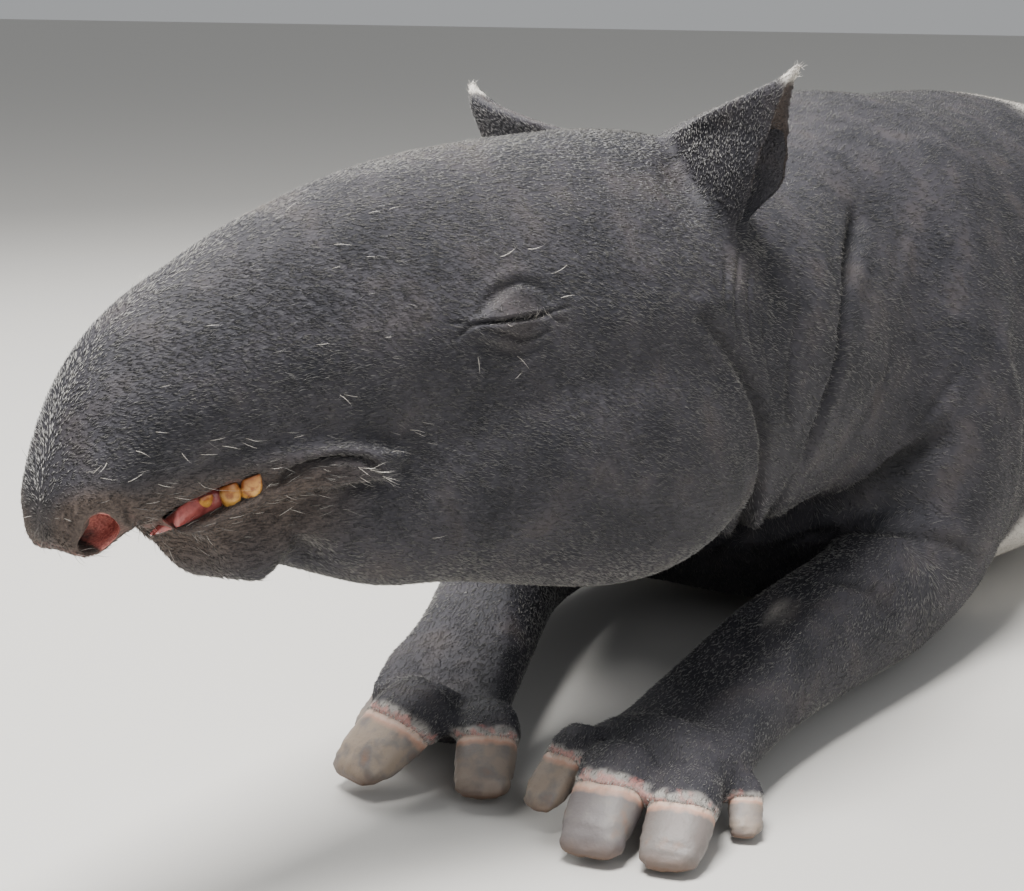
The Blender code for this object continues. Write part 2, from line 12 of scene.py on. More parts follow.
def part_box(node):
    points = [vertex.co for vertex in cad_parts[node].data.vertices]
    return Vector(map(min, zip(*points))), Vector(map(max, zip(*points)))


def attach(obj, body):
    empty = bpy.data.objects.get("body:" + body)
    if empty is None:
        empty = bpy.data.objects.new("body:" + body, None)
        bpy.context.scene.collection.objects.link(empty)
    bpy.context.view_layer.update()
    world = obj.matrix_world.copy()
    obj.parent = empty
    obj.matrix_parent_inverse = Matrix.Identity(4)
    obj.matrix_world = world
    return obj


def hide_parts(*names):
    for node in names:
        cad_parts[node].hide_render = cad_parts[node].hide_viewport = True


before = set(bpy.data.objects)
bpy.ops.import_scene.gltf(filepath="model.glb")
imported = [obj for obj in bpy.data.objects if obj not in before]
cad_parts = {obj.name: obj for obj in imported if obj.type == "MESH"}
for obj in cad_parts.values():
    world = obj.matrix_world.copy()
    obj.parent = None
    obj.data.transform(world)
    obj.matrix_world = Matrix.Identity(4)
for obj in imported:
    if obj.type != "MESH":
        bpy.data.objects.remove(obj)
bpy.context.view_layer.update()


# The view: a camera a little above the animal's shoulder, on its left and ahead of it. Its lens and its
# place are worked out from the picture, so that the framing is the same.
PICTURE = (1024, 891)
FOCAL_PIXELS = 2150
CAMERA_AT = Vector((-2.118, -0.647, 0.658))
CAMERA_AZIMUTH, CAMERA_HEIGHT = radians(-65), radians(13)

back = Vector((
    sin(CAMERA_AZIMUTH) * cos(CAMERA_HEIGHT),
    -cos(CAMERA_AZIMUTH) * cos(CAMERA_HEIGHT),
    sin(CAMERA_HEIGHT),
))
right = Vector((0, 0, 1)).cross(back).normalized()
view_turn = Matrix((right, back.cross(right), back)).transposed()
camera_data = bpy.data.cameras.new("view")
camera_data.sensor_width = 36
camera_data.lens = FOCAL_PIXELS / PICTURE[0] * camera_data.sensor_width
camera = bpy.data.objects.new("view", camera_data)
camera.matrix_world = Matrix.Translation(CAMERA_AT) @ view_turn.to_4x4()
bpy.context.scene.collection.objects.link(camera)
bpy.context.scene.camera = camera


# Hide: one sheet of thick skin over head, neck, trunk, limbs, ears and closed lids, made from the solids
# of the flesh, fused, evened out and drawn in by the depth of the coat. Folds are pressed into it after.
FLESH = [
    "head", "neck", "torso", "tail",
    "fore_leg_left", "fore_leg_right", "hind_leg_left", "hind_leg_right",
    "ear_left", "ear_right",
    "upper_lid_left", "lower_lid_left", "upper_lid_right", "lower_lid_right",
]
# The middle between the eyes and how the head is turned; then the grain of the fused skin, how far the
# solids grow into one another before they are fused, and how deep the coat is, in metres
HEAD_AT = Vector((-0.758, 0.058, 0.408))
HEAD_TURN, HEAD_LEAN = radians(-22.5), radians(-4.6)
HIDE_GRAIN = 0.0032
HIDE_TRIANGLES = 270000
OVERLAP = 0.0006
COAT_DEPTH = 0.0022
MIRROR = np.array((1, -1, 1))

head_turn = (Matrix.Rotation(HEAD_TURN, 3, "Z") @ Matrix.Rotation(HEAD_LEAN, 3, "X"))
head_axes = np.array(head_turn)


def in_head(points):
    """Where points lie in the head's own frame: ahead of, left of and above the middle between the eyes."""
    return (np.asarray(points) - np.array(HEAD_AT)) @ head_axes * (-1, -1, 1)


def from_head(ahead, left, up):
    """The point told in the head's own frame."""
    return HEAD_AT + head_turn @ Vector((-ahead, -left, up))


def ramp(values, low, high):
    """0 below low, 1 above high, smooth between; low may be the larger."""
    t = np.clip((np.asarray(values, float) - low) / (high - low), 0, 1)
    return t * t * (3 - 2 * t)


def waves(points, size, seed):
    """Gentle random swell, mostly from -1 to 1, with bumps of about this size in metres."""
    random = np.random.default_rng(seed)
    total = np.zeros(len(points))
    for _ in range(7):
        way = random.normal(size=3)
        way *= tau / size / np.linalg.norm(way) * random.uniform(0.6, 1.5)
        total += np.sin(points @ way + random.uniform(0, tau))
    return total / 7 ** 0.5


def far_side(spot, ahead=0.0):
    """The mirror image of a point on the other side of the head, moved ahead if wanted."""
    return from_head(*(in_head([tuple(spot)])[0] * MIRROR + (ahead, 0, 0)))


def points_of(data):
    points = np.empty(len(data.vertices) * 3)
    data.vertices.foreach_get("co", points)
    return points.reshape(-1, 3)


def normals_of(data):
    normals = np.empty(len(data.vertices) * 3)
    data.vertices.foreach_get("normal", normals)
    return normals.reshape(-1, 3)


def move_points(data, points):
    data.vertices.foreach_set("co", points.ravel())
    data.update()


def apply_modifiers(made):
    made.data = bpy.data.meshes.new_from_object(made.evaluated_get(bpy.context.evaluated_depsgraph_get()))
    made.modifiers.clear()


def tree_of(made):
    """The object's surface, kept so that rays and nearest points are found fast."""
    return BVHTree.FromObject(made, bpy.context.evaluated_depsgraph_get())


def links_of(data):
    """The two ends of every edge, and how many edges each point has."""
    edges = np.empty(len(data.edges) * 2, np.int64)
    data.edges.foreach_get("vertices", edges)
    edges = edges.reshape(-1, 2)
    count = np.bincount(edges.ravel(), minlength=len(data.vertices))
    return edges, np.maximum(count, 1)


def neighbour_mean(values, edges, count):
    """Each point's mean of its neighbours' values, column by column."""
    total = np.empty_like(values)
    for k in range(values.shape[1]):
        near = np.bincount(edges[:, 0], values[edges[:, 1], k], len(values))
        total[:, k] = near + np.bincount(edges[:, 1], values[edges[:, 0], k], len(values))
    return total / count[:, None]


def evened(values, edges, count, share, rounds):
    """Values drawn towards their neighbours' mean, by each point's own share, that many times."""
    for _ in range(rounds):
        values = values + share[:, None] * (neighbour_mean(values, edges, count) - values)
    return values


def near_path(points, path):
    """Each point's distance to a path through 3-D points, and how far along it lies, from 0 to 1."""
    path = np.array([tuple(p) for p in path])
    runs = np.linalg.norm(np.diff(path, axis=0), axis=1)
    reach = np.concatenate([[0], np.cumsum(runs)]) / runs.sum()
    best = np.full(len(points), np.inf)
    along = np.zeros(len(points))
    for a, b, start, end in zip(path, path[1:], reach, reach[1:]):
        t = np.clip((points - a) @ (b - a) / ((b - a) @ (b - a)), 0, 1)
        gap = np.linalg.norm(points - a - t[:, None] * (b - a), axis=1)
        nearer = gap < best
        best[nearer] = gap[nearer]
        along[nearer] = (start + t * (end - start))[nearer]
    return best, along


# The near ear, from its tip down: pixels down the picture and across it to the front edge, the near rim and
# the far rim, then how far the near rim, the front edge and the far rim are from the camera, in millimetres
EAR_ROWS = [
    (59, 797, 801, 805, 1536, 1537, 1539),
    (66, 791, 800, 806, 1535, 1538, 1541),
    (76, 779, 796, 804, 1536, 1543, 1548),
    (86, 757, 791, 800, 1538, 1553, 1556),
    (100, 727, 786, 797, 1542, 1575, 1570),
    (115, 697, 780, 796, 1548, 1605, 1585),
    (132, 667, 774, 795, 1554, 1648, 1600),
    (152, 664, 765, 795, 1561, 1655, 1612),
    (172, 670, 759, 794, 1569, 1650, 1622),
    (190, 680, 757, 788, 1578, 1642, 1630),
    (206, 690, 752, 773, 1588, 1634, 1632),
    (222, 700, 746, 754, 1598, 1628, 1628),
    (240, 708, 738, 744, 1612, 1632, 1636),
]
EAR_HALF_THICK = 0.0031
EAR_SIDES = 17
# How far the other ear stands ahead of the near one's mirror image, at its tip and at its root, in metres
FAR_EAR_AHEAD = (0.0075, 0.011)


def sight(across, down):
    """The way from the camera through a pixel, in the camera's own directions."""
    return Vector((across - PICTURE[0] / 2, PICTURE[1] / 2 - down, -FOCAL_PIXELS))


def at_pixel(across, down, distance):
    """The point that a pixel shows at this distance from the camera, in metres."""
    return CAMERA_AT + view_turn @ (sight(across, down) * (distance / FOCAL_PIXELS))


def ring_mesh(name, rings, split=False):
    """A closed mesh through rings of points with equal numbers of sides."""
    made = bmesh.new()
    placed = [[made.verts.new(p) for p in ring] for ring in rings]
    for first, second in zip(placed, placed[1:]):
        for k in range(len(first)):
            made.faces.new((first[k - 1], first[k], second[k], second[k - 1]))
    made.faces.new(placed[0])
    made.faces.new(placed[-1])
    bmesh.ops.recalc_face_normals(made, faces=made.faces)
    if split:
        bmesh.ops.triangulate(made, faces=made.faces)
    data = bpy.data.meshes.new(name)
    made.to_mesh(data)
    made.free()
    return data


def ear_mesh(sign):
    """A curled leaf of skin, open behind, for the left ear, or mirrored across the head for the right."""
    rings = []
    for down, front, near_rim, far_rim, near, deep, far in EAR_ROWS:
        turn = np.linspace(0, np.pi, EAR_SIDES)
        scale = near / FOCAL_PIXELS
        ends = near_rim + (far_rim - near_rim) * turn / np.pi
        depths = near + (far - near) * turn / np.pi
        curl = np.column_stack([
            (ends - (ends - front) * np.sin(turn) ** 0.8) * scale,
            depths + (deep - (near + far) / 2) * np.sin(turn),
        ])
        along = np.gradient(curl, axis=0)
        outward = np.column_stack([-along[:, 1], along[:, 0]]) / np.linalg.norm(along, axis=1)[:, None]
        half = min(EAR_HALF_THICK * 1000, (far_rim - front) / 6 + 1)
        ring = np.vstack([curl + outward * half, (curl - outward * half)[::-1]])
        rings.append([at_pixel(a / scale, down, d / 1000) for a, d in ring])
    if sign < 0:
        drifts = np.linspace(*FAR_EAR_AHEAD, len(rings))
        rings = [[far_side(p, drift) for p in ring] for ring, drift in zip(rings, drifts)]
    return ring_mesh("ear", rings, split=True)


# Toes: where the skin gives way to each hoof, told by the middle of the hoof's root, its tip and half its
# width, in metres. The skin reaches forward over the root, further on top than below.
HOOVES = {
    "hoof_fore_left_2": ((-0.676, -0.028, 0.052), (-0.720, -0.016, 0.022), 0.018),
    "hoof_fore_left_3": ((-0.702, -0.073, 0.044), (-0.762, -0.075, 0.012), 0.027),
    "hoof_fore_left_4": ((-0.700, -0.129, 0.036), (-0.756, -0.135, 0.010), 0.025),
    "hoof_fore_left_5": ((-0.642, -0.156, 0.026), (-0.674, -0.168, 0.008), 0.013),
    "hoof_fore_right_2": ((-0.642, 0.062, 0.040), (-0.694, 0.044, 0.012), 0.024),
    "hoof_fore_right_3": ((-0.660, 0.124, 0.050), (-0.714, 0.150, 0.017), 0.031),
    "hoof_fore_right_4": ((-0.590, 0.170, 0.044), (-0.616, 0.194, 0.014), 0.018),
    "hoof_fore_right_5": ((-0.540, 0.188, 0.030), (-0.552, 0.213, 0.008), 0.013),
    "hoof_hind_left_2": ((0.468, -0.298, 0.034), (0.423, -0.287, 0.010), 0.020),
    "hoof_hind_left_3": ((0.458, -0.343, 0.036), (0.404, -0.340, 0.010), 0.023),
    "hoof_hind_left_4": ((0.468, -0.388, 0.033), (0.425, -0.394, 0.010), 0.020),
    "hoof_hind_right_2": ((0.468, 0.294, 0.034), (0.423, 0.290, 0.010), 0.020),
    "hoof_hind_right_3": ((0.458, 0.340, 0.036), (0.404, 0.344, 0.010), 0.023),
    "hoof_hind_right_4": ((0.468, 0.384, 0.033), (0.425, 0.396, 0.010), 0.020),
}
SQUARENESS = 2.6
# Rings of the sleeve: share of the hoof's length, share of its half width, and thickness in metres
CUFF_RINGS = [
    (-0.45, 0.90, 0.001), (-0.15, 1.0, 0.0036), (0.02, 1.0, 0.0046), (0.12, 1.0, 0.0046),
    (0.19, 1.0, 0.0042), (0.23, 1.0, 0.0022), (0.24, 0.80, 0.0),
]
CUFF_SIDES = 24
CUFF_SLANT = 0.10
LOWEST_SKIN = 0.004


def toe_axes(root_at, tip_at):
    """The length of a hoof and its three directions: forward, sideways and up."""
    axis = (Vector(tip_at) - Vector(root_at)).normalized()
    side_way = axis.cross(Vector((0, 0, 1))).normalized()
    return (Vector(tip_at) - Vector(root_at)).length, axis, side_way, side_way.cross(axis).normalized()


def squared(turn):
    """Across and up on the rounded square that a toe and its hoof are cut along, flatter below."""
    c, d = np.cos(turn), np.sin(turn)
    size = (np.abs(c) ** SQUARENESS + np.abs(d) ** SQUARENESS) ** (-1 / SQUARENESS)
    return c * size, d * size * np.where(d > 0, 0.80, 0.62)


def cuff(root_at, tip_at, half_width):
    """The end of a toe: a short sleeve round the root of its hoof."""
    long, axis, side_way, up_way = toe_axes(root_at, tip_at)
    turn = np.arange(CUFF_SIDES) * tau / CUFF_SIDES
    over, above = squared(turn)
    rings = []
    for reach, share, thick in CUFF_RINGS:
        ahead = long * (reach + CUFF_SLANT * np.sin(turn) * ramp(np.array(reach), -0.1, 0.15))
        sideways = np.outer(over * (half_width * share + thick), side_way)
        upward = np.outer(above * (half_width * share + thick / 0.7), up_way)
        ring = np.array(root_at) + np.outer(ahead, axis) + sideways + upward
        ring[:, 2] = np.maximum(ring[:, 2], LOWEST_SKIN)
        rings.append(ring)
    return ring_mesh("cuff", rings, split=True)


joined = bmesh.new()
node_of_face = []
for number, name in enumerate(FLESH):
    before = len(joined.faces)
    if name.startswith("ear"):
        joined.from_mesh(ear_mesh(1 if name == "ear_left" else -1))
    else:
        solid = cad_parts[name].data.copy()
        grown = points_of(solid) + normals_of(solid) * OVERLAP
        solid.vertices.foreach_set("co", grown.ravel())
        joined.from_mesh(solid)
    for hoof_name, hoof_ends in HOOVES.items():
        if "leg" in name and hoof_name.startswith("hoof_" + name.replace("leg_", "")):
            joined.from_mesh(cuff(*hoof_ends))
    node_of_face += [number] * (len(joined.faces) - before)
solids = BVHTree.FromBMesh(joined)
hide_data = bpy.data.meshes.new("hide")
joined.to_mesh(hide_data)
joined.free()
hide = bpy.data.objects.new("hide", hide_data)
bpy.context.scene.collection.objects.link(hide)
fuse = hide.modifiers.new("fuse", "REMESH")
fuse.mode = "VOXEL"
fuse.voxel_size = HIDE_GRAIN
apply_modifiers(hide)

# The evening-out: the facets of the solids go, while lips, nostrils, lids, ears and toes keep their edges.
EYE_AT, NOSTRIL_AT = (0.002, 0.092, -0.006), (0.303, 0.035, -0.106)
MOUTH_BAND = [(0.280, -0.130), (0.236, -0.102), (0.205, -0.092), (0.150, -0.088), (0.095, -0.093)]
EVENING_ROUNDS, LAST_EVENING_ROUNDS = 60, 100


def outside_box(points, low, high):
    """How far points lie outside a box."""
    over = np.maximum(np.array(low) - points, points - np.array(high))
    return np.linalg.norm(np.maximum(over, 0), axis=1)


def softness(points):
    """How freely the hide may be evened out at each point: 0.45 on the trunk, least on fine features."""
    told = in_head(points)
    share = np.full(len(points), 0.45)
    share += (0.20 - share) * ramp(told[:, 0], -0.42, -0.30) * ramp(points[:, 2], 0.12, 0.20)
    share += (0.30 - share) * ramp(points[:, 2], 0.20, 0.14) * ramp(points[:, 0], -0.15, -0.25)
    share += (0.12 - share) * ramp(points[:, 0], 0.96, 1.01)
    for name in ("ear_left", "ear_right"):
        share += (0.10 - share) * ramp(outside_box(points, *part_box(name)), 0.020, 0.0)
    for name in HOOVES:
        share += (0.15 - share) * ramp(outside_box(points, *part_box(name)), 0.040, 0.012)
    mirrored = told * (1, 0, 1) + np.abs(told) * (0, 1, 0)
    for spot, reach, least in ((EYE_AT, 0.060, 0.16), (NOSTRIL_AT, 0.040, 0.06)):
        gap = np.linalg.norm(mirrored - np.array(spot), axis=1)
        share += (least - share) * ramp(gap, reach, reach * 0.5)
    band = [(ahead, 0, up) for ahead, up in MOUTH_BAND]
    gap, _ = near_path(told * (1, 0, 1), band)
    share += (0.08 - share) * ramp(gap, 0.034, 0.016) * ramp(told[:, 0], 0.04, 0.08)
    return share


edges, count = links_of(hide.data)
points = points_of(hide.data)
share = softness(points)
points = evened(points, edges, count, share, EVENING_ROUNDS)
move_points(hide.data, points)

# Thinning: fine where it is looked at closely, coarser over the trunk
told = in_head(points)
fine = np.maximum(ramp(told[:, 0], -0.36, -0.28) * ramp(points[:, 2], 0.14, 0.18), ramp(share, 0.2, 0.1))
thin_where = hide.vertex_groups.new(name="thin")
for level in range(5):
    chosen = np.flatnonzero(np.round(fine * 4).astype(int) == level)
    thin_where.add(chosen.tolist(), 1.0 - 0.22 * level, "REPLACE")
thin = hide.modifiers.new("thin", "DECIMATE")
thin.ratio = HIDE_TRIANGLES / (2 * len(hide.data.polygons))
thin.vertex_group = "thin"
thin.vertex_group_factor = 1.0
apply_modifiers(hide)

edges, count = links_of(hide.data)
points = points_of(hide.data)
points = evened(points, edges, count, ramp(softness(points), 0.18, 0.5) * 0.5, LAST_EVENING_ROUNDS)
move_points(hide.data, points)


# Folds of the hide, each drawn along what the picture shows and cast on to the skin from the camera, then
# set on the far side too. Told as pixels across and down, with depth, width and raised edge in millimetres.
def seen(across, down, tree):
    """The point of the surface that a pixel of the picture shows."""
    return tree.ray_cast(CAMERA_AT, (view_turn @ sight(across, down)).normalized())[0]


def edge_seen(across, down, tree):
    """The point that a pixel shows, or the first pixel above it where it lies just off the edge."""
    found = None
    while found is None:
        found = seen(across, down, tree)
        down -= 1
    return found


def refined(data, chosen):
    """Splits every edge between two chosen points in half."""
    mesh = bmesh.new()
    mesh.from_mesh(data)
    mesh.edges.ensure_lookup_table()
    picked = [e for e in mesh.edges if chosen[e.verts[0].index] and chosen[e.verts[1].index]]
    bmesh.ops.subdivide_edges(mesh, edges=picked, cuts=1)
    bmesh.ops.triangulate(mesh, faces=[f for f in mesh.faces if len(f.verts) > 3])
    mesh.to_mesh(data)
    mesh.free()


HEAD_FOLDS = [
    ([(470, 326), (482, 322), (496, 322), (508, 321), (520, 319), (532, 318), (543, 315), (553, 311)],
     5.0, 2.0, 0.8),
    ([(476, 315), (488, 300), (504, 287), (522, 280), (540, 284), (553, 297)], 2.2, 4.0, 0.8),
    ([(477, 328), (488, 331), (500, 334), (512, 337), (523, 341), (536, 339), (549, 331)], 2.2, 2.2, 0.5),
    ([(468, 340), (486, 348), (505, 353), (526, 355), (549, 346)], 1.4, 3.6, 0.5),
    ([(471, 325), (463, 331), (456, 340)], 1.6, 1.8, 0.3),
    ([(469, 322), (459, 320), (450, 322)], 1.4, 1.8, 0.3),
    ([(553, 311), (562, 306), (572, 305)], 1.4, 1.8, 0.3),
    ([(552, 316), (562, 318), (571, 324)], 1.2, 1.8, 0.3),
    ([(276, 485), (290, 474), (312, 465), (340, 458), (365, 459), (386, 473)], 6.0, 3.2, 1.2),
    ([(301, 556), (296, 538), (299, 515), (316, 492)], 3.0, 5.0, 0.8),
    ([(165, 500), (200, 470), (240, 453), (290, 441)], 1.2, 5.0, 0.5),
    ([(141, 549), (135, 530), (129, 511), (117, 497)], 2.0, 2.6, 0.6),
    ([(340, 500), (352, 488), (372, 484), (390, 490)], 2.5, 4.0, 0.6),
    ([(60, 500), (66, 528), (80, 548)], 1.0, 4.0, 0.4),
    ([(104, 521), (95, 533), (86, 545)], 10.0, 4.5, 1.4),
    ([(390, 420), (420, 440), (430, 475), (415, 510)], 1.0, 8.0, 0.4),
]
CHEEK_FOLDS = [
    ([(706, 318), (727, 345), (745, 374), (758, 402), (764, 432), (762, 464), (754, 498), (737, 535),
      (710, 563)], 6.0, 6.5, 3.0),
    ([(742, 245), (738, 285), (737, 325), (742, 356)], 1.8, 2.6, 0.8),
    ([(752, 262), (750, 300), (753, 345), (762, 380)], 1.8, 2.6, 0.8),
    ([(765, 300), (765, 335), (771, 375)], 1.5, 2.6, 0.6),
    ([(728, 255), (727, 290), (728, 318)], 1.2, 2.6, 0.5),
]
NECK_FOLDS = [
    ([(862, 212), (860, 232), (856, 252), (852, 275), (850, 300), (848, 327), (843, 358), (836, 388),
      (825, 422), (814, 452)], 16.0, 10.0, 3.0),
    ([(872, 190), (862, 240), (852, 310), (838, 390), (812, 460)], 5.0, 30.0, 3.0),
    ([(1010, 300), (1004, 352), (1018, 407), (1018, 474)], -5.0, 14.0, 0.0),
    ([(802, 300), (794, 350), (788, 400), (791, 440)], 2.2, 5.0, 0.8),
    ([(945, 434), (916, 455), (890, 471), (868, 487), (838, 503)], 9.0, 13.0, 3.0),
    ([(962, 368), (940, 400), (915, 430), (882, 456)], 2.5, 7.0, 1.0),
    ([(902, 325), (886, 380), (866, 420), (845, 455)], 2.0, 6.0, 0.8),
    ([(800, 472), (780, 502), (757, 530)], 3.5, 8.0, 1.2),
    ([(778, 550), (806, 538), (834, 531), (870, 529), (903, 531), (935, 536), (957, 543), (980, 558)],
     5.0, 6.0, 1.0),
    ([(905, 215), (896, 260), (884, 300)], 1.5, 8.0, 0.6),
]
BODY_MIDDLE = 0.020


def path_on_hide(pixels, tree):
    """The pixels' path on the surface, told often enough to stay on it."""
    pixels = np.array(pixels, float)
    runs = np.linalg.norm(np.diff(pixels, axis=0), axis=1)
    reach = np.concatenate([[0], np.cumsum(runs)])
    steps = np.linspace(0, reach[-1], max(int(reach[-1] / 8), 2))
    across, down = (np.interp(steps, reach, pixels[:, k]) for k in (0, 1))
    spots = [seen(a, d, tree) for a, d in zip(across, down)]
    return [spot for spot in spots if spot]


def across_head(path, tree):
    """The same path on the other side of the head."""
    return [tree.find_nearest(far_side(p))[0] for p in path]


def across_body(path, tree):
    """The same path on the other side of the body."""
    return [tree.find_nearest(Vector((p.x, 2 * BODY_MIDDLE - p.y, p.z)))[0] for p in path]


def pressed(points, normals, path, depth, width, raised):
    """A fold: pushed in along the path, a little raised on both sides, dying out at its ends.

    Returns how far inside the fold each point lies, from 0 to 1.
    """
    depth, width, raised = depth / 1000, width / 1000, raised / 1000
    gap, along = near_path(points, path)
    close = gap < 4 * width
    fade = np.sin(np.pi * (0.06 + 0.88 * along[close])) ** 0.6
    edge = raised * np.exp(-(((gap[close] - 1.9 * width) / width) ** 2))
    push = edge - depth * np.exp(-((gap[close] / width) ** 2))
    points[close] += normals[close] * (push * fade)[:, None]
    strength = np.clip(depth / 0.009, 0, 1) * min(0.012 / width, 1)
    inside = np.zeros(len(points))
    inside[close] = np.exp(-((gap[close] / (1.1 * width)) ** 2)) * fade * strength
    return inside


def paths_of_folds():
    """Every fold's path on the hide and on its other side, with its depth, width and raised edge."""
    tree = tree_of(hide)
    found = []
    for folds, across in ((HEAD_FOLDS + CHEEK_FOLDS, across_head), (NECK_FOLDS, across_body)):
        for pixels, depth, width, raised in folds:
            path = path_on_hide(pixels, tree)
            found += [(path, depth, width, raised), (across(path, tree), depth, width, raised)]
    return found


def close_to_features(points, reach):
    """Whether each point lies near an eye, a nostril or the mouth."""
    told = np.abs(in_head(points)) * (0, 1, 0) + in_head(points) * (1, 0, 1)
    near = np.linalg.norm(told - np.array(EYE_AT), axis=1) < reach * 1.3
    near |= np.linalg.norm(told - np.array(NOSTRIL_AT), axis=1) < reach
    gap, _ = near_path(told * (1, 0, 1), [(ahead, 0, up) for ahead, up in MOUTH_BAND])
    return near | (gap < reach * 0.6) & (told[:, 0] > 0.07)


# Broad shaping first: each pixel's place on the hide and its mirror image move within a reach in
# millimetres, by so many pixels across and down the picture
HEAD_SHAPING = [
    ((128, 548), 24, (14, -15)),
    ((152, 564), 20, (4, -15)),
    ((190, 572), 18, (0, -8)),
    ((252, 560), 24, (0, 12)),
    ((300, 558), 15, (0, -16)),
    ((395, 572), 45, (0, 7)),
    ((95, 530), 20, (0, 12)),
    ((24, 450), 42, (11, 0)),
    ((235, 300), 34, (5, 5)),
    ((455, 235), 40, (3, 6)),
    ((400, 330), 45, (3, 2)),
    ((282, 255), 16, (-2, -5)),
    ((205, 505), 22, (0, 8)),
    ((255, 490), 16, (0, 6)),
    ((200, 536), 11, (0, 5)),
    ((172, 572), 15, (5, -14)),
    ((202, 577), 14, (0, -8)),
    ((264, 568), 15, (3, 10)),
    ((305, 563), 11, (0, -9)),
    ((84, 545), 12, (-2, 5)),
    ((188, 572), 26, (0, -12)),
    ((302, 564), 16, (3, -8)),
    ((184, 568), 22, (2, -14)),
    ((160, 556), 12, (3, -6)),
]
# Pixels where the chin is evened out from side to side, and reaches in millimetres
CHIN_NOTCH = [((288, 562), 22), ((262, 566), 16)]
# The back and the flanks: places and moves in metres, reaches in millimetres
BACK_SHAPING = [
    ((0.02, 0.03, 0.53), 190, (0, 0, 0.017)),
    ((-0.28, 0.03, 0.50), 110, (0, 0, 0.007)),
    ((0.45, 0.0, 0.47), 200, (0, 0, 0.027)),
    ((0.15, -0.19, 0.10), 120, (0, -0.048, -0.004)),
    ((0.15, 0.23, 0.10), 120, (0, 0.048, -0.004)),
]


def shaped(points, spot, reach, shift):
    """Points near a spot moved along, less and less away from it."""
    gap = np.linalg.norm(points - np.array(spot), axis=1)
    return points + np.exp(-((gap / reach) ** 2))[:, None] * np.array(shift)


tree = tree_of(hide)
points = points_of(hide.data)
for (across, down), reach, shift in HEAD_SHAPING:
    spot = edge_seen(across, down, tree)
    scale = (spot - CAMERA_AT).length / FOCAL_PIXELS
    move = view_turn @ Vector((shift[0] * scale, -shift[1] * scale, 0))
    other = tree.find_nearest(far_side(spot))[0]
    other_move = head_turn @ Vector(np.array(head_turn.transposed() @ move) * MIRROR)
    both = 0.5 if (other - spot).length < reach / 1000 else 1.0
    points = shaped(points, spot, reach / 1000, move * both)
    points = shaped(points, other, reach / 1000, other_move * both)
for spot, reach, shift in BACK_SHAPING:
    points = shaped(points, spot, reach / 1000, shift)
edges, count = links_of(hide.data)
for (across, down), reach in CHIN_NOTCH:
    spot = seen(across, down, tree)
    gap = np.linalg.norm(in_head(points) * (1, 0, 1) - in_head([tuple(spot)]) * (1, 0, 1), axis=1)
    points = evened(points, edges, count, 0.5 * ramp(gap, reach / 1000, reach / 2000), 14)
move_points(hide.data, points)

folds = paths_of_folds()
points = points_of(hide.data)
near_fold = np.zeros(len(points), bool)
for path, _, width, _ in folds:
    near_fold |= near_path(points, path)[0] < 2.6 * width / 1000 + 0.002
refined(hide.data, near_fold | close_to_features(points, 0.042))
points = points_of(hide.data)
near_fold = np.zeros(len(points), bool)
for path, depth, width, _ in folds:
    if depth > 5 and 5 < width < 15:
        near_fold |= near_path(points, path)[0] < 1.6 * width / 1000
refined(hide.data, near_fold | close_to_features(points, 0.030))
edges, count = links_of(hide.data)
points = points_of(hide.data)
points = evened(points, edges, count, np.where(close_to_features(points, 0.045), 0.4, 0.0), 10)
move_points(hide.data, points)
normals = normals_of(hide.data)
# Painted shade: how deep inside a fold each point lies, used to darken skin and coat in the folds
painted_fold_shade = np.zeros(len(points))
for path, depth, width, raised in folds:
    painted_fold_shade = np.maximum(painted_fold_shade, pressed(points, normals, path, depth, width, raised))
points -= normals * COAT_DEPTH * ramp(points[:, 2], 0.001, 0.02)[:, None]
move_points(hide.data, points)
hide.data.shade_smooth()
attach(hide, "root")
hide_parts(*FLESH)

# The markings of hide and coat, with the painted shade in the folds, kept as values with the hide's points.
# Which part of the body a point is on is read from the nearest solid, then evened out so that it fades from
# part to part.
ROOT_OF_EAR, TIP_OF_EAR = (-0.150, 0.110, 0.070), (-0.219, 0.175, 0.162)
FORE_LEG_LINES = {
    "fore_leg_left": [(-0.10, -0.14, 0.17), (-0.40, -0.10, 0.10), (-0.75, -0.10, 0.02)],
    "fore_leg_right": [(-0.10, 0.14, 0.17), (-0.40, 0.12, 0.10), (-0.70, 0.13, 0.02)],
}
edges, count = links_of(hide.data)
points, normals = points_of(hide.data), normals_of(hide.data)
told = in_head(points)
told_normals = in_head(normals + np.array(HEAD_AT))
part = np.array([node_of_face[solids.find_nearest(Vector(p))[2]] for p in points])


def on(*names):
    """1 where the nearest solid is one of these."""
    return np.isin(part, [FLESH.index(n) for n in names]).astype(float)


def spread(values, rounds=12):
    """Values evened out over the hide."""
    column = values if values.ndim == 2 else values[:, None]
    result = evened(column, edges, count, np.full(len(column), 0.5), rounds)
    return result if values.ndim == 2 else result[:, 0]


on_ear = on("ear_left", "ear_right")
on_hind = on("hind_leg_left", "hind_leg_right")
on_fore = on("fore_leg_left", "fore_leg_right")
on_lid = on("upper_lid_left", "lower_lid_left", "upper_lid_right", "lower_lid_right")
on_head = np.maximum(on("head"), on_lid)

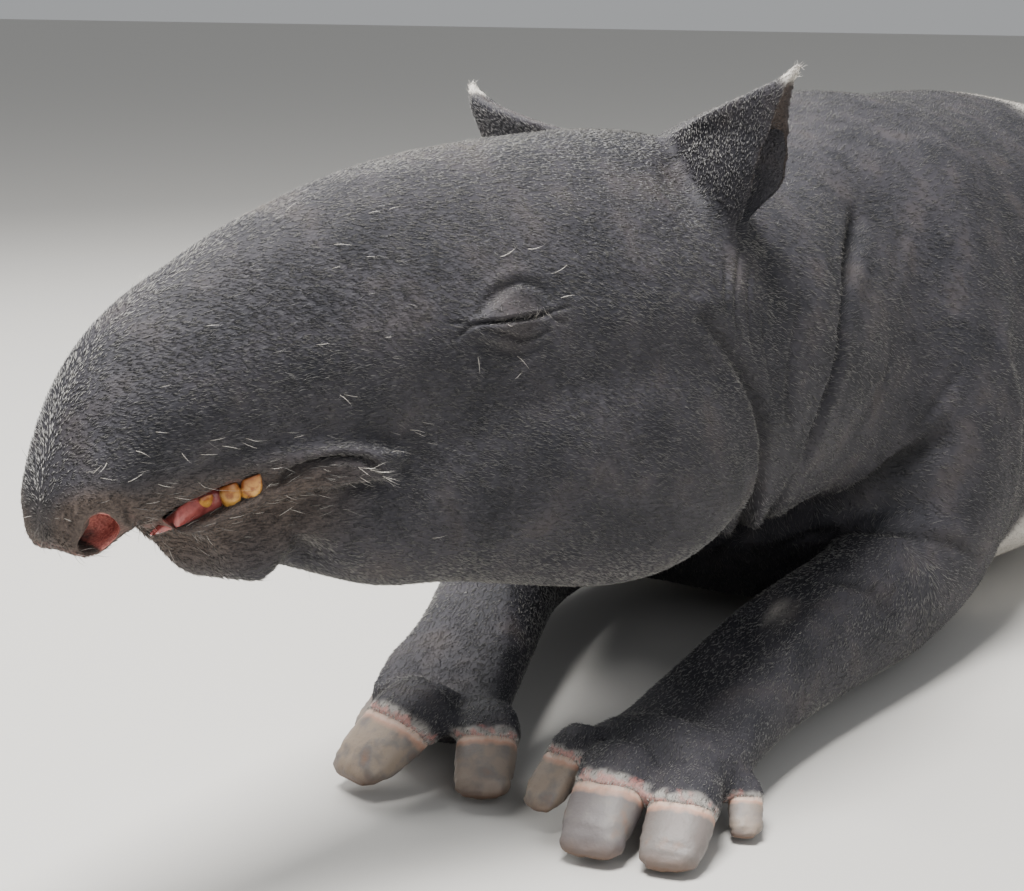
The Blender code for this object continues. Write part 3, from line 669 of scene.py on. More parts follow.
# The way that the hair lies: back along the trunk and the head, down or along the limbs
lie = np.zeros_like(points)
side = np.sign(told[:, 1])
lie[:] = (1, 0, 0)
lie[:, 2] -= 0.5 * np.abs(normals[:, 1])
head_lie = np.column_stack([-np.ones(len(points)), 0.25 * side, -0.45 * ramp(told[:, 0], 0.3, -0.15)])
lie[on_head > 0] = (head_lie * (-1, -1, 1) @ head_axes.T)[on_head > 0]
for sign, name in ((1, "ear_left"), (-1, "ear_right")):
    start, end = (from_head(a, l * sign, u) for a, l, u in (ROOT_OF_EAR, TIP_OF_EAR))
    lie[on(name) > 0] = end - start
for name, line in FORE_LEG_LINES.items():
    path = np.array(line)
    _, along = near_path(points, path)
    ways = np.where(along[:, None] < 0.45, path[1] - path[0], path[2] - path[1])
    lie[on(name) > 0] = ways[on(name) > 0]
low_hind = (on_hind > 0) & (points[:, 2] < 0.10)
lie[on_hind > 0] = (0.25, 0, -1)
lie[low_hind] = (-1, 0, -0.2)
lie /= np.linalg.norm(lie, axis=1)[:, None]
lie = spread(lie, 30)
lie -= normals * np.sum(lie * normals, axis=1)[:, None]
lie /= np.maximum(np.linalg.norm(lie, axis=1), 1e-6)[:, None]

# The saddle starts behind the shoulder and ends on a slant from the flank up to the root of the tail. Both
# edges are straight lines over the side of the body, with a swell of about 10 mm.
SADDLE_FRONT_SLOPE, SADDLE_REAR_SLOPE = 1.133, 0.62
SADDLE_FRONT_AT, SADDLE_REAR_AT = -0.072, 0.42
wobble = 0.010 * waves(points, 0.09, 3) + 0.004 * waves(points, 0.030, 4)
x, _, z = points.T
white = ramp(x - SADDLE_FRONT_AT - SADDLE_FRONT_SLOPE * z + wobble, -0.010, 0.010)
white *= ramp(z - SADDLE_REAR_SLOPE * (x - SADDLE_REAR_AT) + wobble, -0.012, 0.012)
white *= 1 - on_hind * ramp(z, 0.20, 0.16)
white = np.maximum(white, on("tail") * ramp(x, 1.03, 1.00))
for name in ("ear_left", "ear_right"):
    leaf = points[on(name) > 0]
    gap = np.linalg.norm(points - leaf[leaf[:, 2].argmax()], axis=1)
    white = np.maximum(white, ramp(gap, 0.018, 0.012))
cuff_share = np.zeros(len(points))
for root_at, tip_at, half_width in HOOVES.values():
    long, axis, side_way, up_way = toe_axes(root_at, tip_at)
    away = points - np.array(root_at)
    ahead = (away @ np.array(axis) - CUFF_SLANT * (away @ np.array(up_way)) * long / half_width) / long
    aside = np.linalg.norm(away - np.outer(away @ np.array(axis), axis), axis=1)
    beside = ramp(aside, 1.5 * half_width, 1.3 * half_width)
    cuff_share = np.maximum(cuff_share, ramp(ahead, -0.45, 0.20) * beside)
white = np.maximum(spread(white, 2), 0.50 * ramp(cuff_share + 0.05 * waves(points, 0.012, 8), 0.80, 0.95))

# Bare, pink, brown and rubbed skin: nostrils, lips, muzzle, the cup of the ear and the pad on the forearm
NOSTRIL_END = (0.262, 0.030, -0.094)
FOREARM_PAD = (786, 607)
tree = tree_of(hide)
mirrored = told * (1, 0, 1) + np.abs(told) * (0, 1, 0)
nostril_gap = np.linalg.norm(mirrored - np.array(NOSTRIL_AT), axis=1)
inside_gap, inside_along = near_path(mirrored, [NOSTRIL_AT, NOSTRIL_END])
nostril_run = np.array(NOSTRIL_END) - np.array(NOSTRIL_AT)
inside_way = mirrored - np.array(NOSTRIL_AT) - inside_along[:, None] * nostril_run
same_side = np.column_stack([np.ones(len(points)), side, np.ones(len(points))])
facing_in = np.sum(inside_way * told_normals * same_side, axis=1) < 0
band_gap, _ = near_path(told * (1, 0, 1), [(ahead, 0, up) for ahead, up in MOUTH_BAND])
eye_gap = np.linalg.norm(mirrored - np.array(EYE_AT), axis=1)
in_mouth = ramp(band_gap, 0.0065, 0.003) * ramp(told[:, 0], 0.105, 0.125)
in_mouth *= ramp(told[:, 0], 0.262, 0.250) * ramp(np.abs(told[:, 1]), 0.055, 0.045)
under_snout = ramp(told_normals[:, 2], -0.45, -0.85) * ramp(told[:, 0], 0.27, 0.30)
nostril_wall = facing_in * ramp(inside_gap, 0.026, 0.020) * ramp(inside_along, 0.0, 0.08)
pink = spread(np.clip(nostril_wall + 0.1 * in_mouth + 0.2 * under_snout, 0, 1), 1)
pink = np.maximum(pink, 0.5 * ramp(cuff_share + 0.10 * waves(points, 0.010, 18), 0.92, 1.0))
inner_ear = on_ear * ramp(told_normals[:, 0], -0.10, -0.35) * ramp(told[:, 2], 0.060, 0.080)
bare = np.clip(ramp(nostril_gap, 0.019, 0.012) + nostril_wall + in_mouth + 0.8 * spread(inner_ear, 2), 0, 1)
pad = np.linalg.norm(points - np.array(seen(*FOREARM_PAD, tree)), axis=1)
rubbed = ramp(pad + 0.003 * waves(points, 0.01, 9), 0.012, 0.005)
bare = np.clip(bare + rubbed, 0, 1)
muzzle = ramp(band_gap, 0.075, 0.02) * ramp(told[:, 0], 0.10, 0.17) * ramp(told[:, 2], -0.07, -0.10)
brown = muzzle + ramp(nostril_gap, 0.035, 0.018) + 0.8 * inner_ear + 0.2 * ramp(eye_gap, 0.03, 0.015)
brown = spread(np.clip(brown, 0, 1), 8)


def keep(data, values):
    """Keeps named values with a mesh's points, for its materials to read."""
    for name, column in values.items():
        data.attributes.new(name, "FLOAT", "POINT").data.foreach_set("value", column.astype(np.float32))


keep(hide.data, {
    "white": white, "pink": pink, "brown": brown, "rubbed": rubbed, "painted_fold_shade": painted_fold_shade,
    "on_head": spread(on_head, 30),
})


def colour(code):
    """An sRGB hex colour as the linear numbers of a shader."""
    channels = [int(code[k:k + 2], 16) / 255 for k in (0, 2, 4)]
    return tuple(c / 12.92 if c <= 0.04045 else ((c + 0.055) / 1.055) ** 2.4 for c in channels) + (1,)


def add(tree, kind, inputs, output=0, **settings):
    """Adds a shader node with its settings, gives or links its inputs, and returns one of its outputs."""
    made = tree.nodes.new("ShaderNode" + kind)
    for name, value in settings.items():
        setattr(made, name, value)
    for name, value in inputs.items():
        if isinstance(value, bpy.types.NodeSocket):
            tree.links.new(value, made.inputs[name])
        else:
            made.inputs[name].default_value = value
    return made.outputs[output]


def layered(tree, base, *layers):
    """The base colour under others, each coming in while its value goes from low to high."""
    for value, low, high, over in layers:
        share = add(tree, "MapRange", {0: value, 1: low, 2: high})
        base = add(tree, "Mix", {0: share, 6: base, 7: over}, 2, data_type="RGBA")
    return base


def mottling(tree, size, detail=3, turn=(0, 0, 0)):
    """Soft random patches of this size in millimetres; three sizes and a turn make them streaks."""
    size = tuple(s / 1000 for s in size) if isinstance(size, tuple) else (size / 1000,) * 3
    where = add(tree, "TexCoord", {}, "Object")
    placed = add(tree, "Mapping", {0: where, 2: turn, 3: size}, vector_type="TEXTURE")
    return add(tree, "TexNoise", {"Vector": placed, "Scale": 1.0, "Detail": detail})


def material(name, roughness, specular, kept=()):
    """A new material: its node tree, its surface, and the values that it reads from the mesh."""
    made = bpy.data.materials.new(name)
    made.use_nodes = True
    surface = made.node_tree.nodes["Principled BSDF"]
    surface.inputs["Roughness"].default_value = roughness
    surface.inputs["Specular IOR Level"].default_value = specular
    values = [add(made.node_tree, "Attribute", {}, "Fac", attribute_name=value) for value in kept]
    return made, made.node_tree, surface.inputs, *values


# Skin between the hairs: thick, dry and leathery, so dull, finely cracked and mottled charcoal. Sizes are in
# millimetres: a bristle with its shadow, drawn 1.3 mm wide as the real 0.1 mm is too fine to show, patches
# of dust, and pores. The cracks are counted over the box round the body: 5 mm apart along it, 2 mm across.
STROKE, PATCH, PORE = (11, 1.3, 1.3), 45, 1.6
CRACKS_OVER_BODY = 420
TRUNK_LIE, HEAD_LIE = (0, radians(25), 0), (0, HEAD_LEAN, HEAD_TURN)
skin, tree, surface, head_share, white_share, pink_share, brown_share, painted_fold_shade_share, rubbed_share = material(
    "tapir_skin_charcoal", 0.68, 0.25, ("on_head", "white", "pink", "brown", "painted_fold_shade", "rubbed"))
strokes = add(tree, "Mix", {
    0: head_share,
    2: mottling(tree, STROKE, turn=TRUNK_LIE),
    3: mottling(tree, STROKE, turn=HEAD_LIE),
})
patches = mottling(tree, PATCH, 4)
pores = mottling(tree, PORE)
cracks = add(tree, "TexVoronoi", {"Scale": CRACKS_OVER_BODY}, feature="DISTANCE_TO_EDGE")
pale = layered(
    tree, colour("b9b4ac"),
    (patches, 0.3, 0.7, colour("d5d1ca")),
    (strokes, 0.55, 0.75, colour("8f8a84")),
)
brown_skin = layered(tree, colour("3b3330"), (pores, 0.3, 0.7, colour("5d524b")))
rosy = layered(tree, colour("a05a56"), (pores, 0.35, 0.65, colour("c98478")))
skin_colour = layered(
    tree, colour("26262b"),
    (patches, 0.35, 0.68, colour("3d3b40")),
    (strokes, 0.55, 0.75, colour("4e4d50")),
    (patches, 0.55, 0.9, colour("453f3d")),
    (brown_share, 0, 1, brown_skin),
    # Painted shade: near-black skin deep in the folds
    (painted_fold_shade_share, 0, 1, colour("151517")),
    (rubbed_share, 0, 1, colour("aaa49d")),
    (white_share, 0, 1, pale),
    (pink_share, 0, 1, rosy),
)
tree.links.new(skin_colour, surface["Base Color"])
relief = add(tree, "Bump", {"Height": cracks, "Distance": 0.0005, "Strength": 0.5})
relief = add(tree, "Bump", {"Height": strokes, "Distance": 0.0009, "Strength": 0.6, "Normal": relief})
relief = add(tree, "Bump", {"Height": pores, "Distance": 0.0003, "Strength": 0.5, "Normal": relief})
tree.links.new(relief, surface["Normal"])
hide.data.materials.clear()
hide.data.materials.append(skin)

# Coat: short bristles that lie back from the snout and down the limbs. Each tuft is a thin closed spike
# rooted in the hide, charcoal with a grey tip, or white on the saddle and the ear tips. A real bristle is
# about 0.1 mm thick and too fine to show, so a tuft stands for several and is drawn 0.5 to 0.6 mm wide.
COAT_TRIANGLES = 1_180_000
PIECE_TUFTS = 48000
MAP_TRIANGLES = 12000
# The side of one hair's patch on the flat map, as a share of the map
BAKE_PATCH = 0.003
TUFT_FACES = np.array([(0, 1, 2), (1, 0, 3), (2, 1, 3), (0, 2, 3)])
TUFT_SINK, TUFT_BEHIND = 0.0004, 0.0006
# Lengths and widths in metres; densities only against one another
TRUNK_LENGTH, HEAD_SHORTER, FORE_LEG_SHORTER = 0.0074, 0.0032, 0.0016
TRUNK_WIDTH, HEAD_NARROWER = 0.00058, 0.00010
TRUNK_DENSITY, HEAD_DENSER, FORE_LEG_DENSER = 6.0, 18.0, 8.0

random = np.random.default_rng(11)
edges, count = links_of(hide.data)
points, normals = points_of(hide.data), normals_of(hide.data)
near_ground = ramp(points[:, 2], 0.10, 0.05)
short = np.clip(ramp(eye_gap, 0.040, 0.015) + ramp(nostril_gap, 0.06, 0.02) + near_ground, 0, 1)
density = TRUNK_DENSITY + HEAD_DENSER * np.maximum(spread(on_head, 40), 1.2 * on_ear)
density += FORE_LEG_DENSER * spread(on_fore, 20)
density *= (1 - bare) * ramp(points[:, 2], 0.004, 0.012) * (1 - 0.9 * pink)
on_head_or_ear = spread(np.maximum(on_head, on_ear), 30)
length = TRUNK_LENGTH - HEAD_SHORTER * on_head_or_ear - FORE_LEG_SHORTER * spread(on_fore, 20)
length *= (1 - 0.40 * short) * (1 - 0.22 * on_ear)
width = TRUNK_WIDTH - HEAD_NARROWER * on_head_or_ear

corners = np.empty(len(hide.data.polygons) * 3, np.int64)
hide.data.polygons.foreach_get("vertices", corners)
corners = corners.reshape(-1, 3)
a, b, c = (points[corners[:, k]] for k in range(3))
area = np.linalg.norm(np.cross(b - a, c - a), axis=1) / 2
wanted = area * density[corners].mean(axis=1)
tufts = COAT_TRIANGLES // len(TUFT_FACES)
faces = np.sort(random.choice(len(corners), tufts, p=wanted / wanted.sum()))
u, v = random.random((2, tufts))
over = u + v > 1
u[over], v[over] = 1 - u[over], 1 - v[over]
shares = np.column_stack([1 - u - v, u, v])


def at_roots(values):
    """Values of the hide's points read at the roots of the tufts."""
    return np.einsum("nk,nk...->n...", shares, values[corners[faces]])


def unit(vectors):
    return vectors / np.maximum(np.linalg.norm(vectors, axis=-1, keepdims=True), 1e-9)


def unwrapped(source, triangles):
    """A thinned copy of the surface laid flat: its tree, its faces' corners and their places on the map."""
    plain = bpy.data.objects.new("unwrap", source.data.copy())
    bpy.context.scene.collection.objects.link(plain)
    plain.modifiers.new("thin", "DECIMATE").ratio = triangles / len(source.data.polygons)
    apply_modifiers(plain)
    bpy.context.view_layer.objects.active = plain
    plain.select_set(True)
    bpy.ops.object.mode_set(mode="EDIT")
    bpy.ops.mesh.select_all(action="SELECT")
    bpy.ops.uv.smart_project(angle_limit=radians(60), island_margin=BAKE_PATCH)
    bpy.ops.object.mode_set(mode="OBJECT")
    places = np.empty(len(plain.data.loops) * 2)
    plain.data.uv_layers[0].data.foreach_get("uv", places)
    ends = np.empty(len(plain.data.loops), np.int64)
    plain.data.loops.foreach_get("vertex_index", ends)
    corner_points = points_of(plain.data)[ends].reshape(-1, 3, 3)
    tree = tree_of(plain)
    bpy.data.objects.remove(plain)
    return tree, corner_points, places.reshape(-1, 3, 2)


def map_places(spots, tree, corner_points, places):
    """Where each spot lies on the flat map of the surface."""
    found = [tree.find_nearest(Vector(p)) for p in spots]
    near = np.array([f[0] for f in found])
    face = np.array([f[2] for f in found])
    a, b, c = (corner_points[face, k] for k in range(3))
    turn = np.cross(b - a, c - a)
    size = np.maximum(np.sum(turn * turn, axis=1), 1e-18)
    share_b = np.sum(np.cross(near - a, c - a) * turn, axis=1) / size
    share_c = np.sum(np.cross(b - a, near - a) * turn, axis=1) / size
    shares = np.column_stack([1 - share_b - share_c, share_b, share_c])
    return np.einsum("nk,nkd->nd", np.clip(shares, 0, 1), places[face])


def coat_piece(name, verts, faces, spots, values):
    """A piece of the coat from arrays, with its map and its values, one column a name."""
    data = bpy.data.meshes.new(name)
    data.vertices.add(len(verts))
    data.vertices.foreach_set("co", verts.ravel())
    data.loops.add(faces.size)
    data.loops.foreach_set("vertex_index", faces.ravel().astype(np.int32))
    data.polygons.add(len(faces))
    data.polygons.foreach_set("loop_start", np.arange(0, faces.size, 3, dtype=np.int32))
    data.update(calc_edges=True)
    layer = data.uv_layers.new(name="OFBake")
    layer.data.foreach_set("uv", spots[faces.ravel()].astype(np.float32).ravel())
    keep(data, values)
    data.materials.append(bristle)
    made = bpy.data.objects.new(name, data)
    bpy.context.scene.collection.objects.link(made)
    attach(made, "root")
    return made


# Bristle: smooth keratin, so a soft gloss. It is darkest at its root, and each hair has its own shade
bristle, tree, surface, tip_share, white_share, shade, brown_share, painted_fold_shade_share = material(
    "tapir_bristle", 0.42, 0.45, ("tip", "white", "shade", "brown", "painted_fold_shade"))
patches = mottling(tree, PATCH, 4)
dark_root = layered(tree, colour("29292d"), (patches, 0.35, 0.68, colour("38373b")))
dark_tip = layered(
    tree, colour("555457"),
    (shade, 0, 1, colour("bbb9b2")),
    (patches, 0.55, 0.9, colour("817970")),
    (brown_share, 0, 1, colour("6a5d53")),
)
pale_tip = layered(tree, colour("cbc6be"), (shade, 0, 1, colour("ebe7e0")))
pale = layered(tree, colour("a8a39b"), (tip_share, 0.0, 0.8, pale_tip))
bristle_colour = layered(
    tree, dark_root,
    (tip_share, 0.05, 0.8, dark_tip),
    # Painted shade: near-black hair deep in the folds
    (painted_fold_shade_share, 0, 1, colour("19191b")),
    (white_share, 0, 1, pale),
)
tree.links.new(bristle_colour, surface["Base Color"])

map_tree, map_corners, map_corner_places = unwrapped(hide, MAP_TRIANGLES)
root = at_roots(points)
root_normal = unit(at_roots(normals))
way = unit(at_roots(lie) + random.normal(0, 0.20, (tufts, 3)))
way = unit(way - root_normal * np.sum(way * root_normal, axis=1)[:, None])
rise = np.clip(random.normal(0.26, 0.10, tufts), 0.08, 0.6)
across = np.cross(root_normal, way)
long = at_roots(length) * random.uniform(0.7, 1.2, tufts)
half = at_roots(width)[:, None] / 2
foot = root - root_normal * TUFT_SINK - way * TUFT_BEHIND
tip = root + (way * np.cos(rise)[:, None] + root_normal * np.sin(rise)[:, None]) * long[:, None]
ridge = foot + root_normal * (TUFT_SINK + 1.2 * half)
verts = np.stack([foot + across * half, foot - across * half, ridge, tip], axis=1)
spot = map_places(root, map_tree, map_corners, map_corner_places)
patch = np.array([(-0.5, -0.5), (0.5, -0.5), (0.0, 0.0), (0.0, 0.5)]) * BAKE_PATCH
spots = spot[:, None, :] + patch
whiteness = ramp(at_roots(white) + random.normal(0, 0.10, tufts), 0.42, 0.58)
shade_of = np.clip(random.beta(1.3, 2.2, tufts) + 0.12 * waves(root, 0.05, 21), 0, 1)
shade_of *= 1 - 0.45 * at_roots(on_ear)
kept_values = {"white": whiteness, "shade": shade_of, "brown": at_roots(brown), "painted_fold_shade": at_roots(painted_fold_shade)}
for number, first in enumerate(range(0, tufts, PIECE_TUFTS)):
    chosen = slice(first, min(first + PIECE_TUFTS, tufts))
    amount = chosen.stop - chosen.start
    numbered = (TUFT_FACES + 4 * np.arange(amount)[:, None, None]).reshape(-1, 3)
    values = {"tip": np.tile((0.0, 0.0, 0.0, 1.0), amount)}
    values.update({name: np.repeat(column[chosen], 4) for name, column in kept_values.items()})
    piece_verts, piece_spots = verts[chosen].reshape(-1, 3), spots[chosen].reshape(-1, 2)
    piece = coat_piece(f"coat_{number + 1}", piece_verts, numbered, piece_spots, values)


# Hooves: a shoe of horn on each toe, growing from a pale soft band at its root, ridged across by growth and
# worn blunt and brown at its edge. Each is one solid piece, seated in the sleeve of skin round its root.
# The rings run from behind the root to the worn edge: shares of the length, the half width and the height.
HOOF_PROFILE = np.array([
    (-0.14, 0.50, 0.50), (-0.05, 0.70, 0.70), (0.02, 0.86, 0.86), (0.08, 0.95, 0.93), (0.30, 1.03, 0.93),
    (0.55, 1.00, 0.82), (0.75, 0.94, 0.68), (0.90, 0.86, 0.52), (0.98, 0.76, 0.38), (1.03, 0.58, 0.24),
    (1.045, 0.25, 0.09),
])
HOOF_SIDES, HOOF_RINGS = 40, 34
CUFF_END = 0.17
LOWEST_HORN = 0.0004
# How warm and pale each hoof is, in the order of HOOVES
HOOF_TONES = (0.9, 0.2, 0.35, 0.8, 0.75, 1.0, 0.8, 0.8, 0.5, 0.3, 0.6, 0.5, 0.3, 0.6)

# Horn: keratin worn dull by the ground, so no clear gloss. Sizes in millimetres: stained patches, scratches,
# the ragged edge of the soft band, and the ridges of growth.
STAINED, SCRATCH, RAGGED, GROWTH = 18, 2.2, 9, 4.5
horn, tree, surface, tone, along_share = material("hoof_horn", 0.50, 0.45, ("tone", "along"))
stained, scratches = mottling(tree, STAINED), mottling(tree, SCRATCH)
ragged = add(tree, "Math", {0: mottling(tree, RAGGED), 1: 0.12, 2: -0.06}, operation="MULTIPLY_ADD")
along_share = add(tree, "Math", {0: along_share, 1: ragged}, operation="ADD")
wall = layered(
    tree, colour("58565b"),
    (tone, 0, 1, colour("8d7f71")),
    (stained, 0.45, 0.62, colour("6f6a67")),
    (scratches, 0.62, 1.0, colour("5b544f")),
    (stained, 0.60, 0.85, colour("826452")),
    (along_share, 0.66, 0.90, colour("5f4a3c")),
    (along_share, 0.15, 0.07, colour("b58d79")),
    (along_share, 0.08, 0.04, colour("c4aa9a")),
    (along_share, -0.02, -0.07, colour("5b5453")),
)
tree.links.new(wall, surface["Base Color"])
relief = add(tree, "Bump", {"Height": mottling(tree, GROWTH, 2), "Distance": 0.0006, "Strength": 0.5})
relief = add(tree, "Bump", {"Height": scratches, "Distance": 0.0004, "Strength": 0.5, "Normal": relief})
tree.links.new(relief, surface["Normal"])


def shown(name, rings, finish):
    """A smooth closed piece through rings of points, riding on the body."""
    data = ring_mesh(name, rings)
    data.shade_smooth()
    data.materials.append(finish)
    made = bpy.data.objects.new(name, data)
    bpy.context.scene.collection.objects.link(made)
    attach(made, "root")
    return made


for number, (name, (root_at, tip_at, half_width)) in enumerate(HOOVES.items()):
    long, axis, side_way, up_way = toe_axes(root_at, tip_at)
    reach = np.interp(np.linspace(0, 1, HOOF_RINGS), np.linspace(0, 1, len(HOOF_PROFILE)), HOOF_PROFILE[:, 0])
    wide = np.interp(reach, HOOF_PROFILE[:, 0], HOOF_PROFILE[:, 1]) * half_width
    high = np.interp(reach, HOOF_PROFILE[:, 0], HOOF_PROFILE[:, 2]) * half_width
    turn = np.arange(HOOF_SIDES) * tau / HOOF_SIDES
    over, above = squared(turn)
    verts = (np.array(root_at) + np.array(axis) * (reach * long)[:, None, None]
             + np.array(side_way) * (wide[:, None] * over)[:, :, None]
             + np.array(up_way) * (high[:, None] * above)[:, :, None]).reshape(-1, 3)
    along_all = np.repeat(reach, HOOF_SIDES) - np.tile(CUFF_END + CUFF_SLANT * np.sin(turn), HOOF_RINGS)
    middles = verts.reshape(HOOF_RINGS, HOOF_SIDES, 3).mean(axis=1)
    outward = unit(verts - np.repeat(middles, HOOF_SIDES, axis=0))
    worn = 0.0012 * waves(verts, 0.014, 31) * ramp(along_all, 0.2, 0.8)
    worn += 0.0003 * np.sin(along_all * 42 + waves(verts, 0.03, 5))
    verts += outward * worn[:, None]
    verts[:, 2] = np.maximum(verts[:, 2], LOWEST_HORN)
    hoof = shown(name + "_horn", verts.reshape(HOOF_RINGS, HOOF_SIDES, 3), horn)
    keep(hoof.data, {"along": along_all, "tone": np.full(len(verts), HOOF_TONES[number])})
    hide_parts(name)


# Mouth: the wet upper gum that shows through the parted lips, and three worn, stained upper teeth before it.
# The gum is one strip and each tooth is a piece of its own, set between the lips. Places are pixels across
# and down and widths are pixels; how far behind the lips is in millimetres for the gum, in metres for teeth.
GUM_PATH = [
    ((151, 534), 4, -2), ((160, 528), 11, -3), ((175, 519), 19, -2), ((190, 511), 24, 3),
    ((205, 503), 26, 6), ((222, 497), 22, 9), ((240, 489), 16, 12),
]
GUM_BEHIND, GUM_HALF_THICK = 0.0035, 0.0045
TEETH = [
    ((206, 496), (203, 512), 18, (-0.0015, -0.004), (0.75, 1.0, 1.0, 0.85, 0.5)),
    ((228, 485), (235, 513), 23, (0.0022, -0.002), (0.85, 1.0, 0.96, 0.66, 0.12)),
    ((251, 477), (252, 506), 24, (0.0022, -0.001), (0.85, 1.0, 1.0, 0.78, 0.30)),
]
TOOTH_RINGS, MOUTH_SIDES = 14, 20
# Pixels up and down to the lips, and metres from the camera to the mouth
LIP_ABOVE, LIP_BELOW = 16, 12
MOUTH_DISTANCE = 1.35

hide_tree = tree_of(hide)


def between_lips(across, down, behind):
    """The point at a pixel between the lips, so far behind them in metres."""
    lips = [seen(across, down - LIP_ABOVE, hide_tree), seen(across, down + LIP_BELOW, hide_tree)]
    distances = [(CAMERA_AT - lip) @ back for lip in lips if lip]
    return at_pixel(across, down, sum(distances) / len(distances) + behind)


# Gum: wet flesh, so shiny and a little translucent. Veins of 6 mm and pimples of 2.5 mm
gum_tissue, tree, surface = material("gum_wet", 0.18, 0.6)
veins, pimples = mottling(tree, 6, 4), mottling(tree, 2.5)
tree.links.new(layered(tree, colour("7d3a38"), (veins, 0.3, 0.7, colour("b0605a"))), surface["Base Color"])
relief = add(tree, "Bump", {"Height": pimples, "Distance": 0.0006, "Strength": 0.5})
tree.links.new(relief, surface["Normal"])
surface["Subsurface Weight"].default_value = 0.15
surface["Subsurface Radius"].default_value = (0.006, 0.002, 0.001)

turns = np.arange(MOUTH_SIDES) * tau / MOUTH_SIDES
columns = list(zip(*[(a, d, h, b) for (a, d), h, b in GUM_PATH]))
rings = []
for step in np.linspace(0, len(GUM_PATH) - 1, 26):
    across, down, tall, behind = (np.interp(step, range(len(GUM_PATH)), column) for column in columns)
    middle = between_lips(across, down, behind / 1000 + GUM_BEHIND)
    half = tall / 2 * MOUTH_DISTANCE / FOCAL_PIXELS
    rings.append([
        middle + view_turn @ Vector((0, half * sin(t), 0)) - back * GUM_HALF_THICK * cos(t) for t in turns
    ])
shown("gum", rings, gum_tissue)

# Enamel: hard and smooth under its stains, so a clear gloss. Stains of 4.5 mm, browner towards the gum
enamel, tree, surface, neck_share = material("tooth_enamel_stained", 0.28, 0.5, ("neck",))
stains = mottling(tree, 4.5, 4)
tooth_colour = layered(
    tree, colour("9a5c26"),
    (stains, 0.38, 0.55, colour("dba650")),
    (stains, 0.62, 0.75, colour("e8c98a")),
    (neck_share, 0, 1, colour("7d4322")),
)
tree.links.new(tooth_colour, surface["Base Color"])
relief = add(tree, "Bump", {"Height": stains, "Distance": 0.0005, "Strength": 0.4})
tree.links.new(relief, surface["Normal"])

for number, ((a0, d0), (a1, d1), wide, (neck_behind, tip_behind), profile) in enumerate(TEETH):
    start, end = between_lips(a0, d0, neck_behind), between_lips(a1, d1, tip_behind)
    half = wide / 2 * MOUTH_DISTANCE / FOCAL_PIXELS
    across_way = view_turn @ Vector((1, 0.35, 0)).normalized()
    rings = []
    for share_down in np.linspace(0, 1, TOOTH_RINGS):
        size = half * np.interp(share_down, np.linspace(0, 1, len(profile)), profile)
        middle = start.lerp(end, share_down)
        rings.append([middle + across_way * size * cos(t) + back * size * 0.6 * sin(t) for t in turns])
    tooth = shown(f"tooth_{number + 1}", rings, enamel)
    keep(tooth.data, {"neck": np.repeat(np.linspace(1.0, 0.0, TOOTH_RINGS) ** 2, MOUTH_SIDES)})
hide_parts("upper_teeth")


# Long hairs: whiskers, lashes, the fringe over the hooves and round the ears, and the end of the tail. Each
# is one tapering bent bristle, rooted in the hide, of the same keratin as the coat.
HAIR_RINGS = 4
HAIR_THICK = 0.0005
# Pixels: the roots of the lashes, stray hairs from root to tip with their bend, the corner of the mouth
LASH_LINE = [(503, 321), (515, 320), (530, 318), (546, 313)]
LASHES = 26
STRAY_HAIRS = [
    ((136, 451), (151, 453), 3), ((182, 453), (186, 464), -2), ((107, 463), (101, 476), 2),
    ((128, 482), (143, 475), -2), ((158, 484), (171, 489), -2), ((222, 446), (240, 445), 1),
    ((528, 249), (542, 254), -4), ((500, 257), (517, 255), -3), ((567, 265), (551, 281), 2),
    ((561, 298), (573, 293), 2), ((517, 356), (529, 367), 2), ((522, 372), (512, 380), 1),
    ((478, 357), (479, 373), 1), ((198, 482), (212, 508), -9), ((340, 395), (352, 402), 2),
    ((410, 430), (424, 427), 2),
]
CORNER_HAIRS = [(358, 467), (364, 468), (370, 470), (376, 473), (382, 476), (386, 480)]
MOST_WHISKERS = 420
# Hairs for each metre of half a hoof's width
FRINGE_DENSITY = 9500


def hairs(name, rows):
    """Bent tapering hairs, one row each: they leave along ways and bend by bends towards ups."""
    roots, ways, ups, longs, thicks, bends, whites = (np.array(column) for column in zip(*rows))
    amount = len(roots)
    steps = np.linspace(0, 1, HAIR_RINGS + 1)[None, :, None]
    longs, bends = longs[:, None, None], bends[:, None, None]
    middles = roots[:, None] + ways[:, None] * longs * steps + ups[:, None] * longs * bends * steps ** 2
    sides = unit(np.cross(ways, ups))
    turns = np.arange(3) * tau / 3
    rim = sides[:, None] * np.cos(turns)[:, None] + ups[:, None] * np.sin(turns)[:, None]
    thin = (thicks[:, None] / 2) * (1 - 0.75 * np.linspace(0, 1, HAIR_RINGS))
    rings = middles[:, :-1, None] + rim[:, None] * thin[:, :, None, None]
    verts = np.concatenate([rings.reshape(amount, -1, 3), middles[:, -1:]], axis=1)
    faces = [(2, 1, 0)]
    for ring in range(HAIR_RINGS - 1):
        for k in range(3):
            a, b = 3 * ring + k, 3 * ring + (k + 1) % 3
            faces += [(a, b, b + 3), (a, b + 3, a + 3)]
    last = 3 * (HAIR_RINGS - 1)
    faces += [(last + k, last + (k + 1) % 3, last + 3) for k in range(3)]
    per = verts.shape[1]
    numbered = (np.array(faces) + per * np.arange(amount)[:, None, None]).reshape(-1, 3)
    spot = map_places(roots, map_tree, map_corners, map_corner_places)
    patch = np.random.default_rng(5).uniform(-0.5, 0.5, (per, 2)) * BAKE_PATCH
    tips = np.append(np.repeat(np.linspace(0, 1, HAIR_RINGS + 1)[:-1], 3), 1.0)
    values = {"tip": np.tile(tips, amount), "white": np.repeat(whites, per)}
    values.update({"shade": np.repeat(np.linspace(0.3, 1, amount), per)})
    values.update({"brown": np.zeros(amount * per), "painted_fold_shade": np.zeros(amount * per)})
    return coat_piece(name, verts.reshape(-1, 3), numbered, (spot[:, None] + patch).reshape(-1, 2), values)


